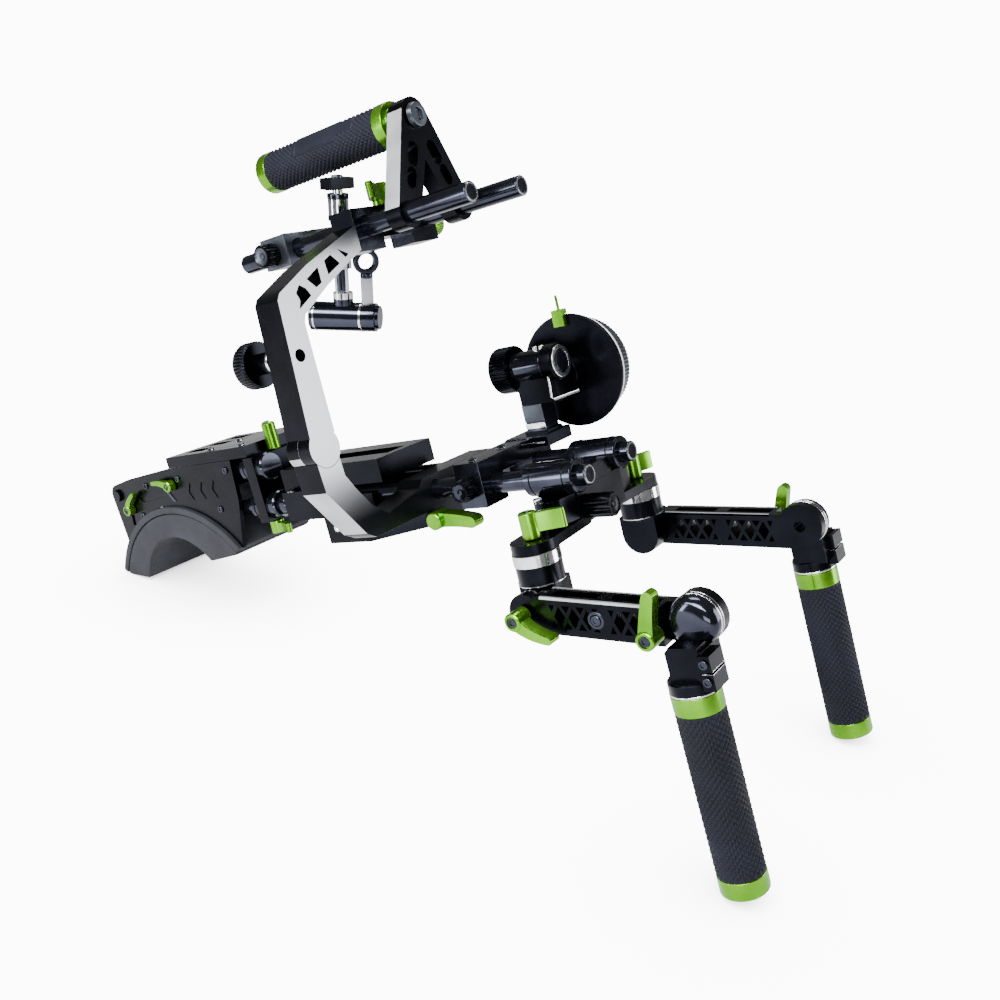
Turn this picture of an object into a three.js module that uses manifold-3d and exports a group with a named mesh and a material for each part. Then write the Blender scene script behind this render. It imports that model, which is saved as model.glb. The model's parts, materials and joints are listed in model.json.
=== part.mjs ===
// Camera shoulder rig on 15 mm rods: shoulder unit, C-arm cage with a top handle, accessory post,
// follow focus and a two-handed handlebar. Millimetres, +Z up, +X forward, +Y to the user's left.
// Everything is laid out square to the lower rods (rod axis height 0, front rod ends at x 0), and the
// whole rig is then pitched so that it rests on the heel of the pad and on both grips.
import * as THREE from 'three';
import { mergeVertices } from 'three/addons/utils/BufferGeometryUtils.js';
import Module from 'manifold-3d';

const wasm = await Module();
wasm.setup();

// ---- Driving dimensions ----
const GAP = 0.3; // clearance between two pieces that touch
const SIDES = 24; // sides of a round section
const ROD_RADIUS = 7.5;
const ROD_SPREAD = 30; // half the spacing of a pair of rods
const LOWER_ROD_LENGTH = 400;
const CLAMP_WALL = 6; // material left around a rod in a clamp

const SHOULDER_ROD_HEIGHT = 35;
const SHOULDER_ROD_FRONT = -328;
const SHOULDER_ROD_REAR = -396;
const TOP_ROD_HEIGHT = 201.3;
const TOP_ROD_FRONT = -42;
const TOP_ROD_REAR = -280;

const PAD_CENTRE = { x: -475, z: -109 }; // centre of the pad's outer curve
const PAD_OUTER = 120;
const PAD_INNER = { x: -480, z: -83, radius: 63 };
const PAD_HALF_WIDTH = 47;
const PAD_HEEL = { x: -573, z: -54 };
const PAD_TOE = { x: -387, z: -39 };
const PLATE_INNER_FACE = 39; // inner face of a shoulder plate, from the middle plane
const PLATE_THICKNESS = 4;
const DECK_THICKNESS = 10;
const DECK_UNDERSIDE = 47;

const ARM_DEPTH = 24; // C-arm, along the rods
const ARM_FRONT = -140;
const PIVOT = { y: -129, z: 60, radius: 14 };
const KNOB_HOLE = { y: -128, z: 124, radius: 4.5 };
const TOP_CLAMP_SIDE = -44;

const HANDLE_HEIGHT = 266.7;
const HANDLE_RADIUS = 16;
const HANDLE_NECK = 4.5; // from the bracket to the front ring
const HANDLE_RING_WIDTH = 10;
const HANDLE_SLEEVE_LENGTH = 121;
const CORE_RADIUS = 9;
const BRACKET_FRONT = -98;
const BRACKET_DEPTH = 14;
const BRACKET_APEX_RADIUS = 13.5;
const BRACKET_FOOT_RADIUS = 11.5;
const BOLT_RADIUS = 5;

const DROP_HINGE = { x: -201, z: 203 };
const DROP_BARREL = { radius: 11.5, length: 54, yaw: 28 };

const FOCUS_POST = { x: -80, y: 40 };
const FOCUS_WHEEL = { x: -57, z: 61 };
const FOCUS_GEAR = { y: 34, z: 73, radius: 18, width: 16 };
const DISC_RADIUS = 44;
const WHEEL_RADIUS = 38;

const SWIVEL = { x: -28.5, y: 71.7, top: -38.3, height: 22, radius: 16.5 };
const ARM_JOINT_HEIGHT = -74.6;
const ARM_JOINT_RADIUS = 13.5;
const SWIVEL_LUG_RADIUS = 15.5;
const ARM_LENGTH = 121.7;
const ELBOW_RISE = 4.3; // the elbow's axis over the arm's middle line
const ARM_TILT = 4.6; // degrees, front end down
const ARM_HEIGHT = 26;
const ARM_WIDTH = 18;
const ELBOW_RADIUS = 16.5;
const GRIP_TILT = 2.1; // degrees, lower end forward
const GRIP_OFFSET = { x: -5.4, y: 31.3 }; // the grip's axis from the elbow's axis and swivel plane
const GRIP_TOP = -40; // top of the grip, from the elbow's axis
const GRIP_SLEEVE_LENGTH = 110;
const GRIP_RADIUS = 16;
const GRIP_RING_WIDTH = 12;

// ---- Finishes ----
const BLACK = { color: 0x14161d, roughness: 0.38, metalness: 0.85 };
const GREY = { color: 0x8d9097, roughness: 0.3, metalness: 0.9 };
const GREEN = { color: 0x6fa92b, roughness: 0.32, metalness: 0.85 };
const CHROME = { color: 0xd4d6da, roughness: 0.12, metalness: 1 };
const POLISHED_BLACK = { color: 0x1d2030, roughness: 0.12, metalness: 0.9 };
const RUBBER = { color: 0x20222e, roughness: 0.85, metalness: 0 };
const FOAM = { color: 0x2b2d31, roughness: 0.95, metalness: 0 };

// ---- Solids ----
function solidOf(geometry) {
  const bare = geometry.clone();
  bare.deleteAttribute('normal');
  bare.deleteAttribute('uv');
  const merged = mergeVertices(bare, 1e-4);
  const index = merged.index.array;
  const triangles = [];
  for (let i = 0; i < index.length; i += 3) {
    const [a, b, c] = [index[i], index[i + 1], index[i + 2]];
    if (a !== b && b !== c && c !== a) triangles.push(a, b, c);
  }
  return new wasm.Manifold(new wasm.Mesh({
    numProp: 3,
    vertProperties: Float32Array.from(merged.attributes.position.array),
    triVerts: Uint32Array.from(triangles),
  }));
}

function join(...solids) {
  return solids.reduce((whole, next) => whole.add(next));
}

function cut(solid, ...tools) {
  return tools.reduce((left, tool) => left.subtract(tool), solid);
}

// A box between two limits on each axis.
function block(x, y, z) {
  const size = [x, y, z].map(([from, to]) => to - from);
  const geometry = new THREE.BoxGeometry(...size);
  geometry.translate((x[0] + x[1]) / 2, (y[0] + y[1]) / 2, (z[0] + z[1]) / 2);
  return solidOf(geometry);
}

// A round bar along one axis, tapered when it has two radii.
function bar(axis, [from, to], radius, centre = {}, endRadius = radius, sides = SIDES) {
  const geometry = new THREE.CylinderGeometry(endRadius, radius, to - from, sides);
  if (axis === 'x') geometry.rotateZ(-Math.PI / 2);
  if (axis === 'z') geometry.rotateX(Math.PI / 2);
  const middle = { x: 0, y: 0, z: 0, ...centre, [axis]: (from + to) / 2 };
  geometry.translate(middle.x, middle.y, middle.z);
  return solidOf(geometry);
}

// A flat shape drawn square to one axis and given a thickness along it: an x slab is drawn in
// (y, z), a y slab in (x, z) and a z slab in (x, y).
function slab(axis, [from, to], shape) {
  const geometry = new THREE.ExtrudeGeometry(shape, {
    depth: to - from,
    bevelEnabled: false,
    curveSegments: 10,
  });
  geometry.translate(0, 0, axis === 'y' ? -to : from);
  const [ex, ey, ez] = [[1, 0, 0], [0, 1, 0], [0, 0, 1]].map((v) => new THREE.Vector3(...v));
  const turn = new THREE.Matrix4();
  if (axis === 'x') turn.makeBasis(ey, ez, ex);
  if (axis === 'y') turn.makeBasis(ex, ez, ey.negate());
  geometry.applyMatrix4(turn);
  return solidOf(geometry);
}

// A closed outline, run counterclockwise, with any holes through it.
function polygon(points, holes = []) {
  const path = (list) => list.map(([u, v]) => new THREE.Vector2(u, v));
  const outline = path(points);
  if (THREE.ShapeUtils.isClockWise(outline)) outline.reverse();
  const shape = new THREE.Shape(outline);
  shape.holes = holes.map((hole) => new THREE.Path(path(hole)));
  return shape;
}

function arcPoints([u, v], radius, start, end, steps) {
  return Array.from({ length: steps + 1 }, (_, i) => {
    const angle = start + ((end - start) * i) / steps;
    return [u + radius * Math.cos(angle), v + radius * Math.sin(angle)];
  });
}

// Two circles joined by their outer tangents.
function strap(a, radiusA, b, radiusB) {
  const [du, dv] = [b[0] - a[0], b[1] - a[1]];
  const heading = Math.atan2(dv, du);
  const spread = Math.acos((radiusA - radiusB) / Math.hypot(du, dv));
  const steps = 8;
  return polygon([
    ...arcPoints(a, radiusA, heading + spread, heading + 2 * Math.PI - spread, steps),
    ...arcPoints(b, radiusB, heading - spread, heading + spread, steps),
  ]);
}

// A mirrored pair of limits on Y: side is -1 on the right and 1 on the left.
function sided(side, from, to) {
  return side > 0 ? [from, to] : [-to, -from];
}

function rodBores(height, x, spread = ROD_SPREAD) {
  return [-1, 1].map((side) => bar('x', x, ROD_RADIUS + GAP, { y: side * spread, z: height }));
}

// A knob along +Z from 0: ribbed rim, and a shank behind the seat when it has one.
function knobSolid(radius, height, shankRadius = 0, shankLength = 0) {
  const ribs = 14;
  const outline = Array.from({ length: ribs * 2 }, (_, i) => {
    const reach = i % 2 ? radius : radius - 0.8;
    const angle = (i * Math.PI) / ribs;
    return [reach * Math.cos(angle), reach * Math.sin(angle)];
  });
  const head = slab('z', [0, height], polygon(outline));
  return shankLength ? join(head, bar('z', [-shankLength, 1], shankRadius)) : head;
}

// A cam lever: a hub along +Z from 0 and a paddle from the hub along +X.
function leverSolid({ hub, height, length, width, thickness, lift = 0 }) {
  const paddle = slab('z', [lift, lift + thickness], strap([0, 0], hub, [length, 0], width / 2));
  return join(bar('z', [0, height], hub, {}, hub, 16), paddle);
}

// ---- Scene graph ----
function frame(parent, name, { x = 0, y = 0, z = 0 }, { rx = 0, ry = 0, rz = 0 } = {}) {
  const group = new THREE.Group();
  group.name = name;
  group.position.set(x, y, z);
  group.rotation.set(...[rx, ry, rz].map(THREE.MathUtils.degToRad));
  parent.add(group);
  return group;
}

function piece(parent, name, solid, finish) {
  const { vertProperties, triVerts } = solid.getMesh();
  const geometry = new THREE.BufferGeometry();
  geometry.setAttribute('position', new THREE.BufferAttribute(vertProperties, 3));
  geometry.setIndex(new THREE.BufferAttribute(triVerts, 1));
  geometry.computeVertexNormals();
  const mesh = new THREE.Mesh(geometry, new THREE.MeshStandardMaterial(finish));
  mesh.name = name;
  parent.add(mesh);
}

// ---- Rods ----
function addRodPair(parent, name, x, z) {
  for (const [side, word] of [[-1, 'right'], [1, 'left']]) {
    const rod = bar('x', x, ROD_RADIUS, { y: side * ROD_SPREAD, z });
    piece(parent, `${name}_${word}`, rod, POLISHED_BLACK);
  }
}

// ---- Shoulder unit ----
function padShape() {
  const { x, z } = PAD_CENTRE;
  const angleTo = (point, centre) => Math.atan2(point.z - centre.z, point.x - centre.x);
  const heelInner = { x: -540, z: -60 };
  const toeInner = { x: -427, z: -44 };
  const outer = arcPoints([x, z], PAD_OUTER, angleTo(PAD_TOE, PAD_CENTRE),
    angleTo(PAD_HEEL, PAD_CENTRE), 14);
  const inner = arcPoints([PAD_INNER.x, PAD_INNER.z], PAD_INNER.radius,
    angleTo(heelInner, PAD_INNER), angleTo(toeInner, PAD_INNER), 10);
  return polygon([...outer, [PAD_HEEL.x, PAD_HEEL.z], ...inner, [PAD_TOE.x, PAD_TOE.z]]);
}

const PLATE_FOOT = PAD_OUTER + GAP; // curve of the plates' lower edge, over the pad
const TAIL_TUBE = { x: -552, z: 27, radius: 6 };

function plateShape() {
  const { x, z } = PAD_CENTRE;
  const front = Math.acos((-380 - x) / PLATE_FOOT);
  const rear = Math.acos((-560 - x) / PLATE_FOOT);
  const top = DECK_UNDERSIDE - GAP;
  const tubeHole = arcPoints([TAIL_TUBE.x, TAIL_TUBE.z], TAIL_TUBE.radius + GAP,
    0, 2 * Math.PI, SIDES).slice(1);
  const diamonds = [-430, -412, -394].map((middle) => [
    [middle - 5, 22], [middle, 13], [middle + 5, 22], [middle, 31],
  ]);
  const slot = [[-520, 24], [-512, 17], [-478, 20], [-478, 29], [-512, 29]];
  return polygon([
    ...arcPoints([x, z], PLATE_FOOT, front, rear, 12),
    ...arcPoints([TAIL_TUBE.x, TAIL_TUBE.z], 11, Math.PI, Math.PI * 0.5, 4),
    [-527, top - 5],
    [-458, top],
    [-362, top],
    [-366, 9],
  ], [tubeHole, ...diamonds, slot]);
}

function addShoulderUnit(rig) {
  piece(rig, 'shoulder_pad', slab('y', [-PAD_HALF_WIDTH, PAD_HALF_WIDTH], padShape()), FOAM);
  for (const [side, word] of [[-1, 'right'], [1, 'left']]) {
    const span = sided(side, PLATE_INNER_FACE, PLATE_INNER_FACE + PLATE_THICKNESS);
    piece(rig, `shoulder_plate_${word}`, slab('y', span, plateShape()), BLACK);
  }

  const inside = PLATE_INNER_FACE - GAP;
  const overPlates = PLATE_INNER_FACE + PLATE_THICKNESS;
  const deckTop = DECK_UNDERSIDE + DECK_THICKNESS;
  const deck = block([-455, -338], [-overPlates, overPlates], [DECK_UNDERSIDE, deckTop]);
  const socket = block([-402, -372], [-inside, inside],
    [SHOULDER_ROD_HEIGHT - ROD_RADIUS - CLAMP_WALL, DECK_UNDERSIDE + 1]);
  const slots = [-24, 0, 24].map((y) => block([-440, -412], [y - 7, y + 7],
    [DECK_UNDERSIDE - 1, deckTop + 1]));
  piece(rig, 'shoulder_deck',
    cut(join(deck, socket), ...slots,
      ...rodBores(SHOULDER_ROD_HEIGHT, [SHOULDER_ROD_REAR - GAP, -371])), BLACK);

  const tubeEnd = overPlates + 3;
  piece(rig, 'shoulder_tail_tube',
    bar('y', [-tubeEnd, tubeEnd], TAIL_TUBE.radius, TAIL_TUBE), BLACK);

  const clampX = [-354, -324];
  const clampSide = ROD_SPREAD + ROD_RADIUS + CLAMP_WALL;
  const clampTop = DECK_UNDERSIDE - GAP;
  const clampFoot = -ROD_RADIUS - CLAMP_WALL;
  const clamp = block(clampX, [-clampSide, clampSide], [clampFoot, clampTop]);
  const window = block([clampX[0] - 1, clampX[1] + 1], [-18, 18], [2, 32]);
  piece(rig, 'shoulder_rod_clamp',
    cut(clamp, window, ...rodBores(0, [-360, -320]),
      ...rodBores(SHOULDER_ROD_HEIGHT, [-360, SHOULDER_ROD_FRONT + GAP])), BLACK);

  const bigLever = frame(rig, 'shoulder_clamp_lever_axis',
    { x: clampX[1] - 6.5, y: -16, z: clampTop + GAP }, { rz: 160 });
  piece(bigLever, 'shoulder_clamp_lever',
    leverSolid({ hub: 6, height: 24, length: 22, width: 8, thickness: 10, lift: 13 }), GREEN);
  const lowLever = frame(rig, 'shoulder_lower_lever_axis',
    { x: -339, y: -30, z: clampFoot - GAP }, { rx: 180, rz: 0 });
  piece(lowLever, 'shoulder_lower_lever',
    leverSolid({ hub: 6.5, height: 12, length: 22, width: 9, thickness: 7, lift: 4 }), GREEN);

  const outerFace = -overPlates - GAP;
  const padLevers = [['rear', { x: -534, z: 12 }, 60], ['front', { x: -456, z: 31 }, 150]];
  for (const [word, spot, turn] of padLevers) {
    const axis = frame(rig, `pad_lever_${word}_axis`, { ...spot, y: outerFace }, { rx: 90, rz: turn });
    axis.rotation.order = 'XYZ';
    piece(axis, `pad_lever_${word}`,
      leverSolid({ hub: 5.5, height: 8, length: 20, width: 7, thickness: 5, lift: 2.5 }), GREEN);
  }
}

// ---- C-arm cage ----
const REACH = ARM_FRONT - ARM_DEPTH; // rear face of the C-arm
const LAP = ARM_FRONT - ARM_DEPTH / 2; // middle plane where the two arms lap at the pivot
const LAP_SHOULDER = 8; // from the pivot to the end of each arm's full depth

function upperArmShape() {
  const shoulder = PIVOT.z + LAP_SHOULDER;
  const windows = [
    [[-112.2, 169.5], [-116.7, 164.5], [-114.8, 159.4], [-117.2, 153.6], [-103.6, 161], [-106.9, 166.3]],
    [[-104, 172.2], [-97, 165.5], [-91, 168], [-91, 178.8]],
    [[-83.4, 182.2], [-82.8, 172.4], [-69, 178.6], [-76.2, 185.5]],
    [[-68.5, 188.8], [-62, 182], [-58, 184]],
  ];
  return polygon([
    [-140, shoulder], [-134, 162], [-131, 166.5], [-123.6, 170.3], [-101, 181.4], [-77.4, 190.2],
    [TOP_CLAMP_SIDE - GAP, 203], [TOP_CLAMP_SIDE - GAP, 185], [-59.9, 178.2], [-85.9, 165.5],
    [-103.2, 155.6], [-113.5, 149.5], [-116, 144], [-116.5, shoulder],
  ], windows);
}

function lowerArmShape() {
  const shoulder = PIVOT.z - LAP_SHOULDER;
  const legTop = ROD_RADIUS + 4.5;
  const legFoot = -ROD_RADIUS - CLAMP_WALL;
  return polygon([
    [-140, shoulder], [-139, 30], [-113, -8], [-104, legFoot], [45, legFoot], [45, legTop], [-44, legTop],
    [-50, 6], [-86.9, -1.2], [-100.1, 9.2], [-110.2, 23.6], [-118, 37], [-118.5, shoulder],
  ]);
}

function addCageArm(rig) {
  const { y, z, radius } = PIVOT;
  const lug = (x) => bar('x', x, radius, { y, z });
  const relief = (x) => bar('x', x, radius + GAP, { y, z });
  const pinFront = ARM_FRONT - 3; // blind, so that the arm's front face is whole
  const pin = bar('x', [REACH - 1, pinFront], 4 + GAP, { y, z });
  const whole = [REACH, ARM_FRONT];

  const lower = join(slab('x', whole, lowerArmShape()), lug([REACH, LAP - GAP / 2]));
  piece(rig, 'lower_c_arm', cut(lower, pin, relief([LAP - GAP / 2, ARM_FRONT + 1]),
    ...rodBores(0, [REACH - 1, ARM_FRONT + 1])), BLACK);

  const upperAxis = frame(rig, 'upper_c_arm_axis', { x: LAP, y, z });
  const upperGroup = frame(upperAxis, '', { x: -LAP, y: -y, z: -z });
  const upper = join(slab('x', whole, upperArmShape()), lug([LAP + GAP / 2, ARM_FRONT]));
  piece(upperGroup, 'upper_c_arm', cut(upper, pin, relief([REACH - 1, LAP + GAP / 2]),
    bar('x', [REACH - 1, ARM_FRONT + 1], KNOB_HOLE.radius, KNOB_HOLE)), GREY);

  const boltHead = REACH - 6;
  const bolt = join(bar('x', [boltHead + 1, pinFront - GAP], 4, { y, z }),
    bar('x', [boltHead, REACH - GAP], 8, { y, z }));
  piece(rig, 'c_arm_pivot_bolt', cut(bolt,
    bar('x', [boltHead - 1, boltHead + 3], 3, { y, z }, 3, 6)), CHROME);

  const knobSeat = REACH - GAP;
  const knobAxis = frame(upperGroup, 'c_arm_knob_axis',
    { x: knobSeat, y: KNOB_HOLE.y, z: KNOB_HOLE.z }, { ry: -90 });
  const collar = bar('z', [0, 18], 8);
  const head = knobSolid(17, 12).translate([0, 0, 17]);
  piece(knobAxis, 'c_arm_knob',
    join(collar, head, bar('z', [-12, 1], KNOB_HOLE.radius - GAP)), BLACK);

  const clampX = [REACH, ARM_FRONT - 1];
  const side = TOP_CLAMP_SIDE;
  const top = TOP_ROD_HEIGHT + ROD_RADIUS + CLAMP_WALL;
  const foot = TOP_ROD_HEIGHT - ROD_RADIUS - CLAMP_WALL - 4;
  const clamp = block(clampX, [side, -side + 2], [foot, top]);
  const slit = block([clampX[0] - 1, clampX[1] + 1], [-16, 16], [foot - 1, foot + 8]);
  piece(upperGroup, 'top_rod_clamp',
    cut(clamp, slit, ...rodBores(TOP_ROD_HEIGHT, [REACH - 1, ARM_FRONT])), BLACK);
  const clampKnob = frame(upperGroup, 'top_clamp_knob_axis',
    { x: (clampX[0] + clampX[1]) / 2, y: -side + 2 + GAP, z: TOP_ROD_HEIGHT - 5 }, { rx: -90 });
  piece(clampKnob, 'top_clamp_knob', knobSolid(9, 15), GREEN);
  const lever = frame(upperGroup, 'handle_lever_axis',
    { x: clampX[1] - 10, y: 2, z: top + GAP }, { rz: -75 });
  piece(lever, 'handle_lever',
    leverSolid({ hub: 7, height: 17, length: 32, width: 8, thickness: 12, lift: 4 }), GREEN);
  return upperGroup;
}

function addBase(rig) {
  const top = -ROD_RADIUS - CLAMP_WALL - GAP;
  const thickness = 13;
  const outline = polygon([[-228, -72], [-182, -72], [-144, -40], [-144, 45], [-228, 45]]);
  const tray = slab('z', [top - thickness, top], outline);
  const wall = block([-228, -186], [-72, -66], [top - 1, top + 10]);
  const carriers = [-1, 1].map((side) => block([-226, -198],
    [side * ROD_SPREAD - 13, side * ROD_SPREAD + 13], [top - 1, 5]));
  piece(rig, 'base_block',
    cut(join(tray, wall, ...carriers), ...rodBores(0, [-230, -190])), BLACK);
  const leverAxis = frame(rig, 'base_lever_axis',
    { x: -135, y: -50, z: top - thickness / 2 - 0.6 }, { rx: -90 });
  piece(leverAxis, 'base_lever', leverSolid(
    { hub: 7, height: 16, length: 32, width: 12, thickness: 10, lift: 3 }), GREEN);

  const plateX = [-304, -236];
  const clamp = block(plateX, [-44, 44], [-13, 12]);
  const deck = block([-308, -190], [-36, 30], [11, 30]);
  const rail = block([-300, -198], [-14, 8], [25, 31]);
  piece(rig, 'camera_plate',
    cut(join(clamp, deck), rail, ...rodBores(0, [plateX[0] - 1, plateX[1] + 1])), BLACK);
}

// ---- Top handle on the upper rods ----
function addHandle(parent) {
  const z = HANDLE_HEIGHT;
  const back = BRACKET_FRONT - BRACKET_DEPTH;
  const span = [back, BRACKET_FRONT];
  const leg = (side) => slab('x', span,
    strap([0, z], BRACKET_APEX_RADIUS, [side * ROD_SPREAD, TOP_ROD_HEIGHT], BRACKET_FOOT_RADIUS));
  const through = [back - 1, BRACKET_FRONT + 1];
  const pocket = (side, from, to, width) => {
    const at = (share) => [side * ROD_SPREAD * share, z - (z - TOP_ROD_HEIGHT) * share];
    return slab('x', through, strap(at(from), width, at(to), width));
  };
  const legs = join(leg(-1), leg(1));
  const gap = slab('x', through, polygon([[0, z - 32], [-19, 180], [19, 180]]));
  const pockets = [-1, 1].flatMap((side) => [pocket(side, 0.34, 0.46, 5), pocket(side, 0.6, 0.7, 4.5)]);
  piece(parent, 'handle_bracket', cut(legs, gap, ...pockets,
    bar('x', through, BOLT_RADIUS + GAP, { z }),
    ...rodBores(TOP_ROD_HEIGHT, through)), BLACK);

  const boltHead = BRACKET_FRONT + GAP;
  const bolt = join(bar('x', [back - 12, boltHead + 1], BOLT_RADIUS, { z }),
    bar('x', [boltHead, boltHead + 4], 9.5, { z }, 8.5));
  piece(parent, 'handle_bolt', cut(bolt,
    bar('x', [boltHead + 1, boltHead + 5], 5, { z }, 5, 6)), CHROME);

  const neckFront = back - GAP;
  const ringFront = neckFront - HANDLE_NECK;
  const ringBack = ringFront - HANDLE_RING_WIDTH;
  const sleeveBack = ringBack - HANDLE_SLEEVE_LENGTH;
  const tail = sleeveBack - HANDLE_RING_WIDTH;
  const core = join(bar('x', [ringFront - 1, neckFront], 11, { z }),
    bar('x', [ringBack, ringFront], HANDLE_RADIUS, { z }),
    bar('x', [sleeveBack - 1, ringBack + 1], CORE_RADIUS, { z }),
    bar('x', [tail, sleeveBack], HANDLE_RADIUS, { z }));
  piece(parent, 'handle_core', cut(core,
    bar('x', [back - 13, back + 1], BOLT_RADIUS + GAP, { z })), GREEN);
  const sleeve = bar('x', [sleeveBack + GAP, ringBack - GAP], HANDLE_RADIUS - 0.3, { z });
  piece(parent, 'handle_sleeve', cut(sleeve,
    bar('x', [sleeveBack - 1, ringBack + 1], CORE_RADIUS + GAP, { z })), RUBBER);
}

// ---- Accessory clamp and the plumb drop post ----
function addAccessory(parent, pitch) {
  const z = [TOP_ROD_HEIGHT - ROD_RADIUS - 4, TOP_ROD_HEIGHT + ROD_RADIUS + 5];
  const { x: hingeX, z: hingeZ } = DROP_HINGE;
  const body = block([-244, -216], [-44, 44], z);
  const lugs = [-1, 1].map((side) => join(
    block([-217, hingeX], sided(side, 9, 14), [hingeZ - 6, hingeZ + 6]),
    bar('y', sided(side, 9, 14), 6, { x: hingeX, z: hingeZ })));
  piece(parent, 'accessory_clamp', cut(join(body, ...lugs),
    bar('y', [-20, 20], 3 + GAP, { x: hingeX, z: hingeZ }, 3 + GAP, 12),
    ...rodBores(TOP_ROD_HEIGHT, [-245, -215])), GREY);
  const knob = frame(parent, 'accessory_knob_axis', { x: -232, y: -44 - GAP, z: 201 }, { rx: 90 });
  piece(knob, 'accessory_knob', knobSolid(9, 13), BLACK);

  const hinge = frame(parent, 'drop_post_axis', { x: hingeX, z: hingeZ },
    { ry: THREE.MathUtils.radToDeg(pitch) });
  const guides = [0, 1, 2].map((i) => bar('z', [-46, -19], 1.7, {
    x: 4.6 * Math.cos((i * 2 * Math.PI) / 3),
    y: 4.6 * Math.sin((i * 2 * Math.PI) / 3),
  }, 1.7, 8));
  const post = join(
    bar('z', [-21, 40], 4),
    bar('z', [13, 33], 8),
    bar('y', [-12, 12], 4, { z: 40 }),
    bar('y', [-13.5, 13.5], 3, {}, 3, 12),
    bar('z', [-24, -18], 8),
    ...guides,
    bar('z', [-48, -43], 8));
  piece(hinge, 'drop_post', post, CHROME);

  const pan = frame(hinge, 'drop_barrel_axis', { z: -48 - GAP }, { rz: DROP_BARREL.yaw });
  const { radius, length } = DROP_BARREL;
  const middle = -radius - 3;
  const barrel = join(bar('z', [-5, 0], 8),
    bar('x', [-length / 2, length / 2], radius, { z: middle }),
    bar('x', [length / 2 - 1, length / 2 + 3], radius - 2, { z: middle }));
  const armHole = { x: 20, z: middle };
  piece(pan, 'drop_barrel', cut(barrel,
    bar('z', [middle, 0], 4.5 + GAP, { x: armHole.x }, 4.5 + GAP, 12)), BLACK);
  const arm = join(bar('z', [middle + 1, 22], 4.5, { x: armHole.x }, 4.5, 12),
    bar('x', [armHole.x - 3, armHole.x + 3], 10.5, { z: 30 }));
  piece(pan, 'drop_ring_arm', cut(arm,
    bar('x', [armHole.x - 4, armHole.x + 4], 6.5, { z: 30 })), CHROME);
}

// ---- Follow focus ----
function addFollowFocus(parent) {
  const { x: postX, y: postY } = FOCUS_POST;
  const crossbar = block([-106, -82], [-46, 47], [-14, 20]);
  const seat = block([-106, -66], [22, 56], [12, 21]);
  const post = block([postX - 9, postX + 9], [postY - 9, postY + 9], [20, 44]);
  const window = block([-107, -81], [-19, 19], [-15, 6]);
  piece(parent, 'focus_rod_clamp', cut(join(crossbar, seat, post), window,
    ...rodBores(0, [-107, -65])), BLACK);
  const knob = frame(parent, 'focus_clamp_knob_axis', { x: -94, y: -46 - GAP, z: 2 }, { rx: 90 });
  piece(knob, 'focus_clamp_knob', knobSolid(8.5, 13), BLACK);

  const boxX = [postX, -52];
  const { x: wheelX, z: wheelZ } = FOCUS_WHEEL;
  const { y: gearY, z: gearZ, radius: gearRadius, width: gearWidth } = FOCUS_GEAR;
  const discFace = 62;
  const housing = block([boxX[0] - 6, boxX[1]], [24, 58], [44 + GAP, 80]);
  const nose = bar('x', [boxX[0] - 6, boxX[1] + 2], 9, { y: 28, z: 78 });
  const hub = bar('y', [50, discFace], 12, { x: wheelX, z: wheelZ });
  const box = join(housing, nose, hub);
  const gearBack = boxX[0] - 6 - GAP;
  piece(parent, 'focus_gearbox', cut(box,
    bar('y', [40, discFace + 1], 4 + GAP, { x: wheelX, z: wheelZ }),
    bar('x', [gearBack - 1, gearBack + 9], 4 + GAP, { y: gearY, z: gearZ })), BLACK);

  const gearAxis = frame(parent, 'focus_gear_axis', { x: gearBack, y: gearY, z: gearZ }, { ry: -90 });
  const teeth = 32;
  const outline = Array.from({ length: teeth * 2 }, (_, i) => {
    const reach = i % 2 ? gearRadius : gearRadius - 1.2;
    return [reach * Math.cos((i * Math.PI) / teeth), reach * Math.sin((i * Math.PI) / teeth)];
  });
  piece(gearAxis, 'focus_gear', join(slab('z', [0, gearWidth], polygon(outline)),
    bar('z', [-8, 1], 4)), BLACK);

  const discBack = discFace + GAP;
  const discThickness = 3;
  const disc = bar('y', [discBack, discBack + discThickness], DISC_RADIUS, { x: wheelX, z: wheelZ },
    DISC_RADIUS, 48);
  piece(parent, 'focus_disc', cut(disc,
    bar('y', [discBack - 1, discBack + 9], 4 + GAP, { x: wheelX, z: wheelZ })), BLACK);

  const wheelFace = discBack + discThickness + GAP;
  const wheelAxis = frame(parent, 'focus_handwheel_axis',
    { x: wheelX, y: wheelFace, z: wheelZ }, { rx: -90 });
  const wheel = join(bar('z', [0, 3.2], DISC_RADIUS - 1, {}, DISC_RADIUS - 1, 48),
    bar('z', [3, 21], WHEEL_RADIUS, {}, WHEEL_RADIUS - 2, 36),
    bar('z', [-22, 1], 4));
  piece(wheelAxis, 'focus_handwheel', wheel, GREY);

  const rim = wheelZ + DISC_RADIUS;
  const clip = cut(block([wheelX - 5, wheelX + 5], [discBack - 4, discBack + 3], [rim - 9, rim + 4]),
    bar('y', [discBack - GAP, discBack + 9], DISC_RADIUS + GAP, { x: wheelX, z: wheelZ },
      DISC_RADIUS + GAP, 48));
  piece(parent, 'focus_pointer', join(clip,
    bar('z', [rim + 3, rim + 15], 1.2, { x: wheelX, y: discBack }, 1.2, 8)), GREEN);
}

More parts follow.
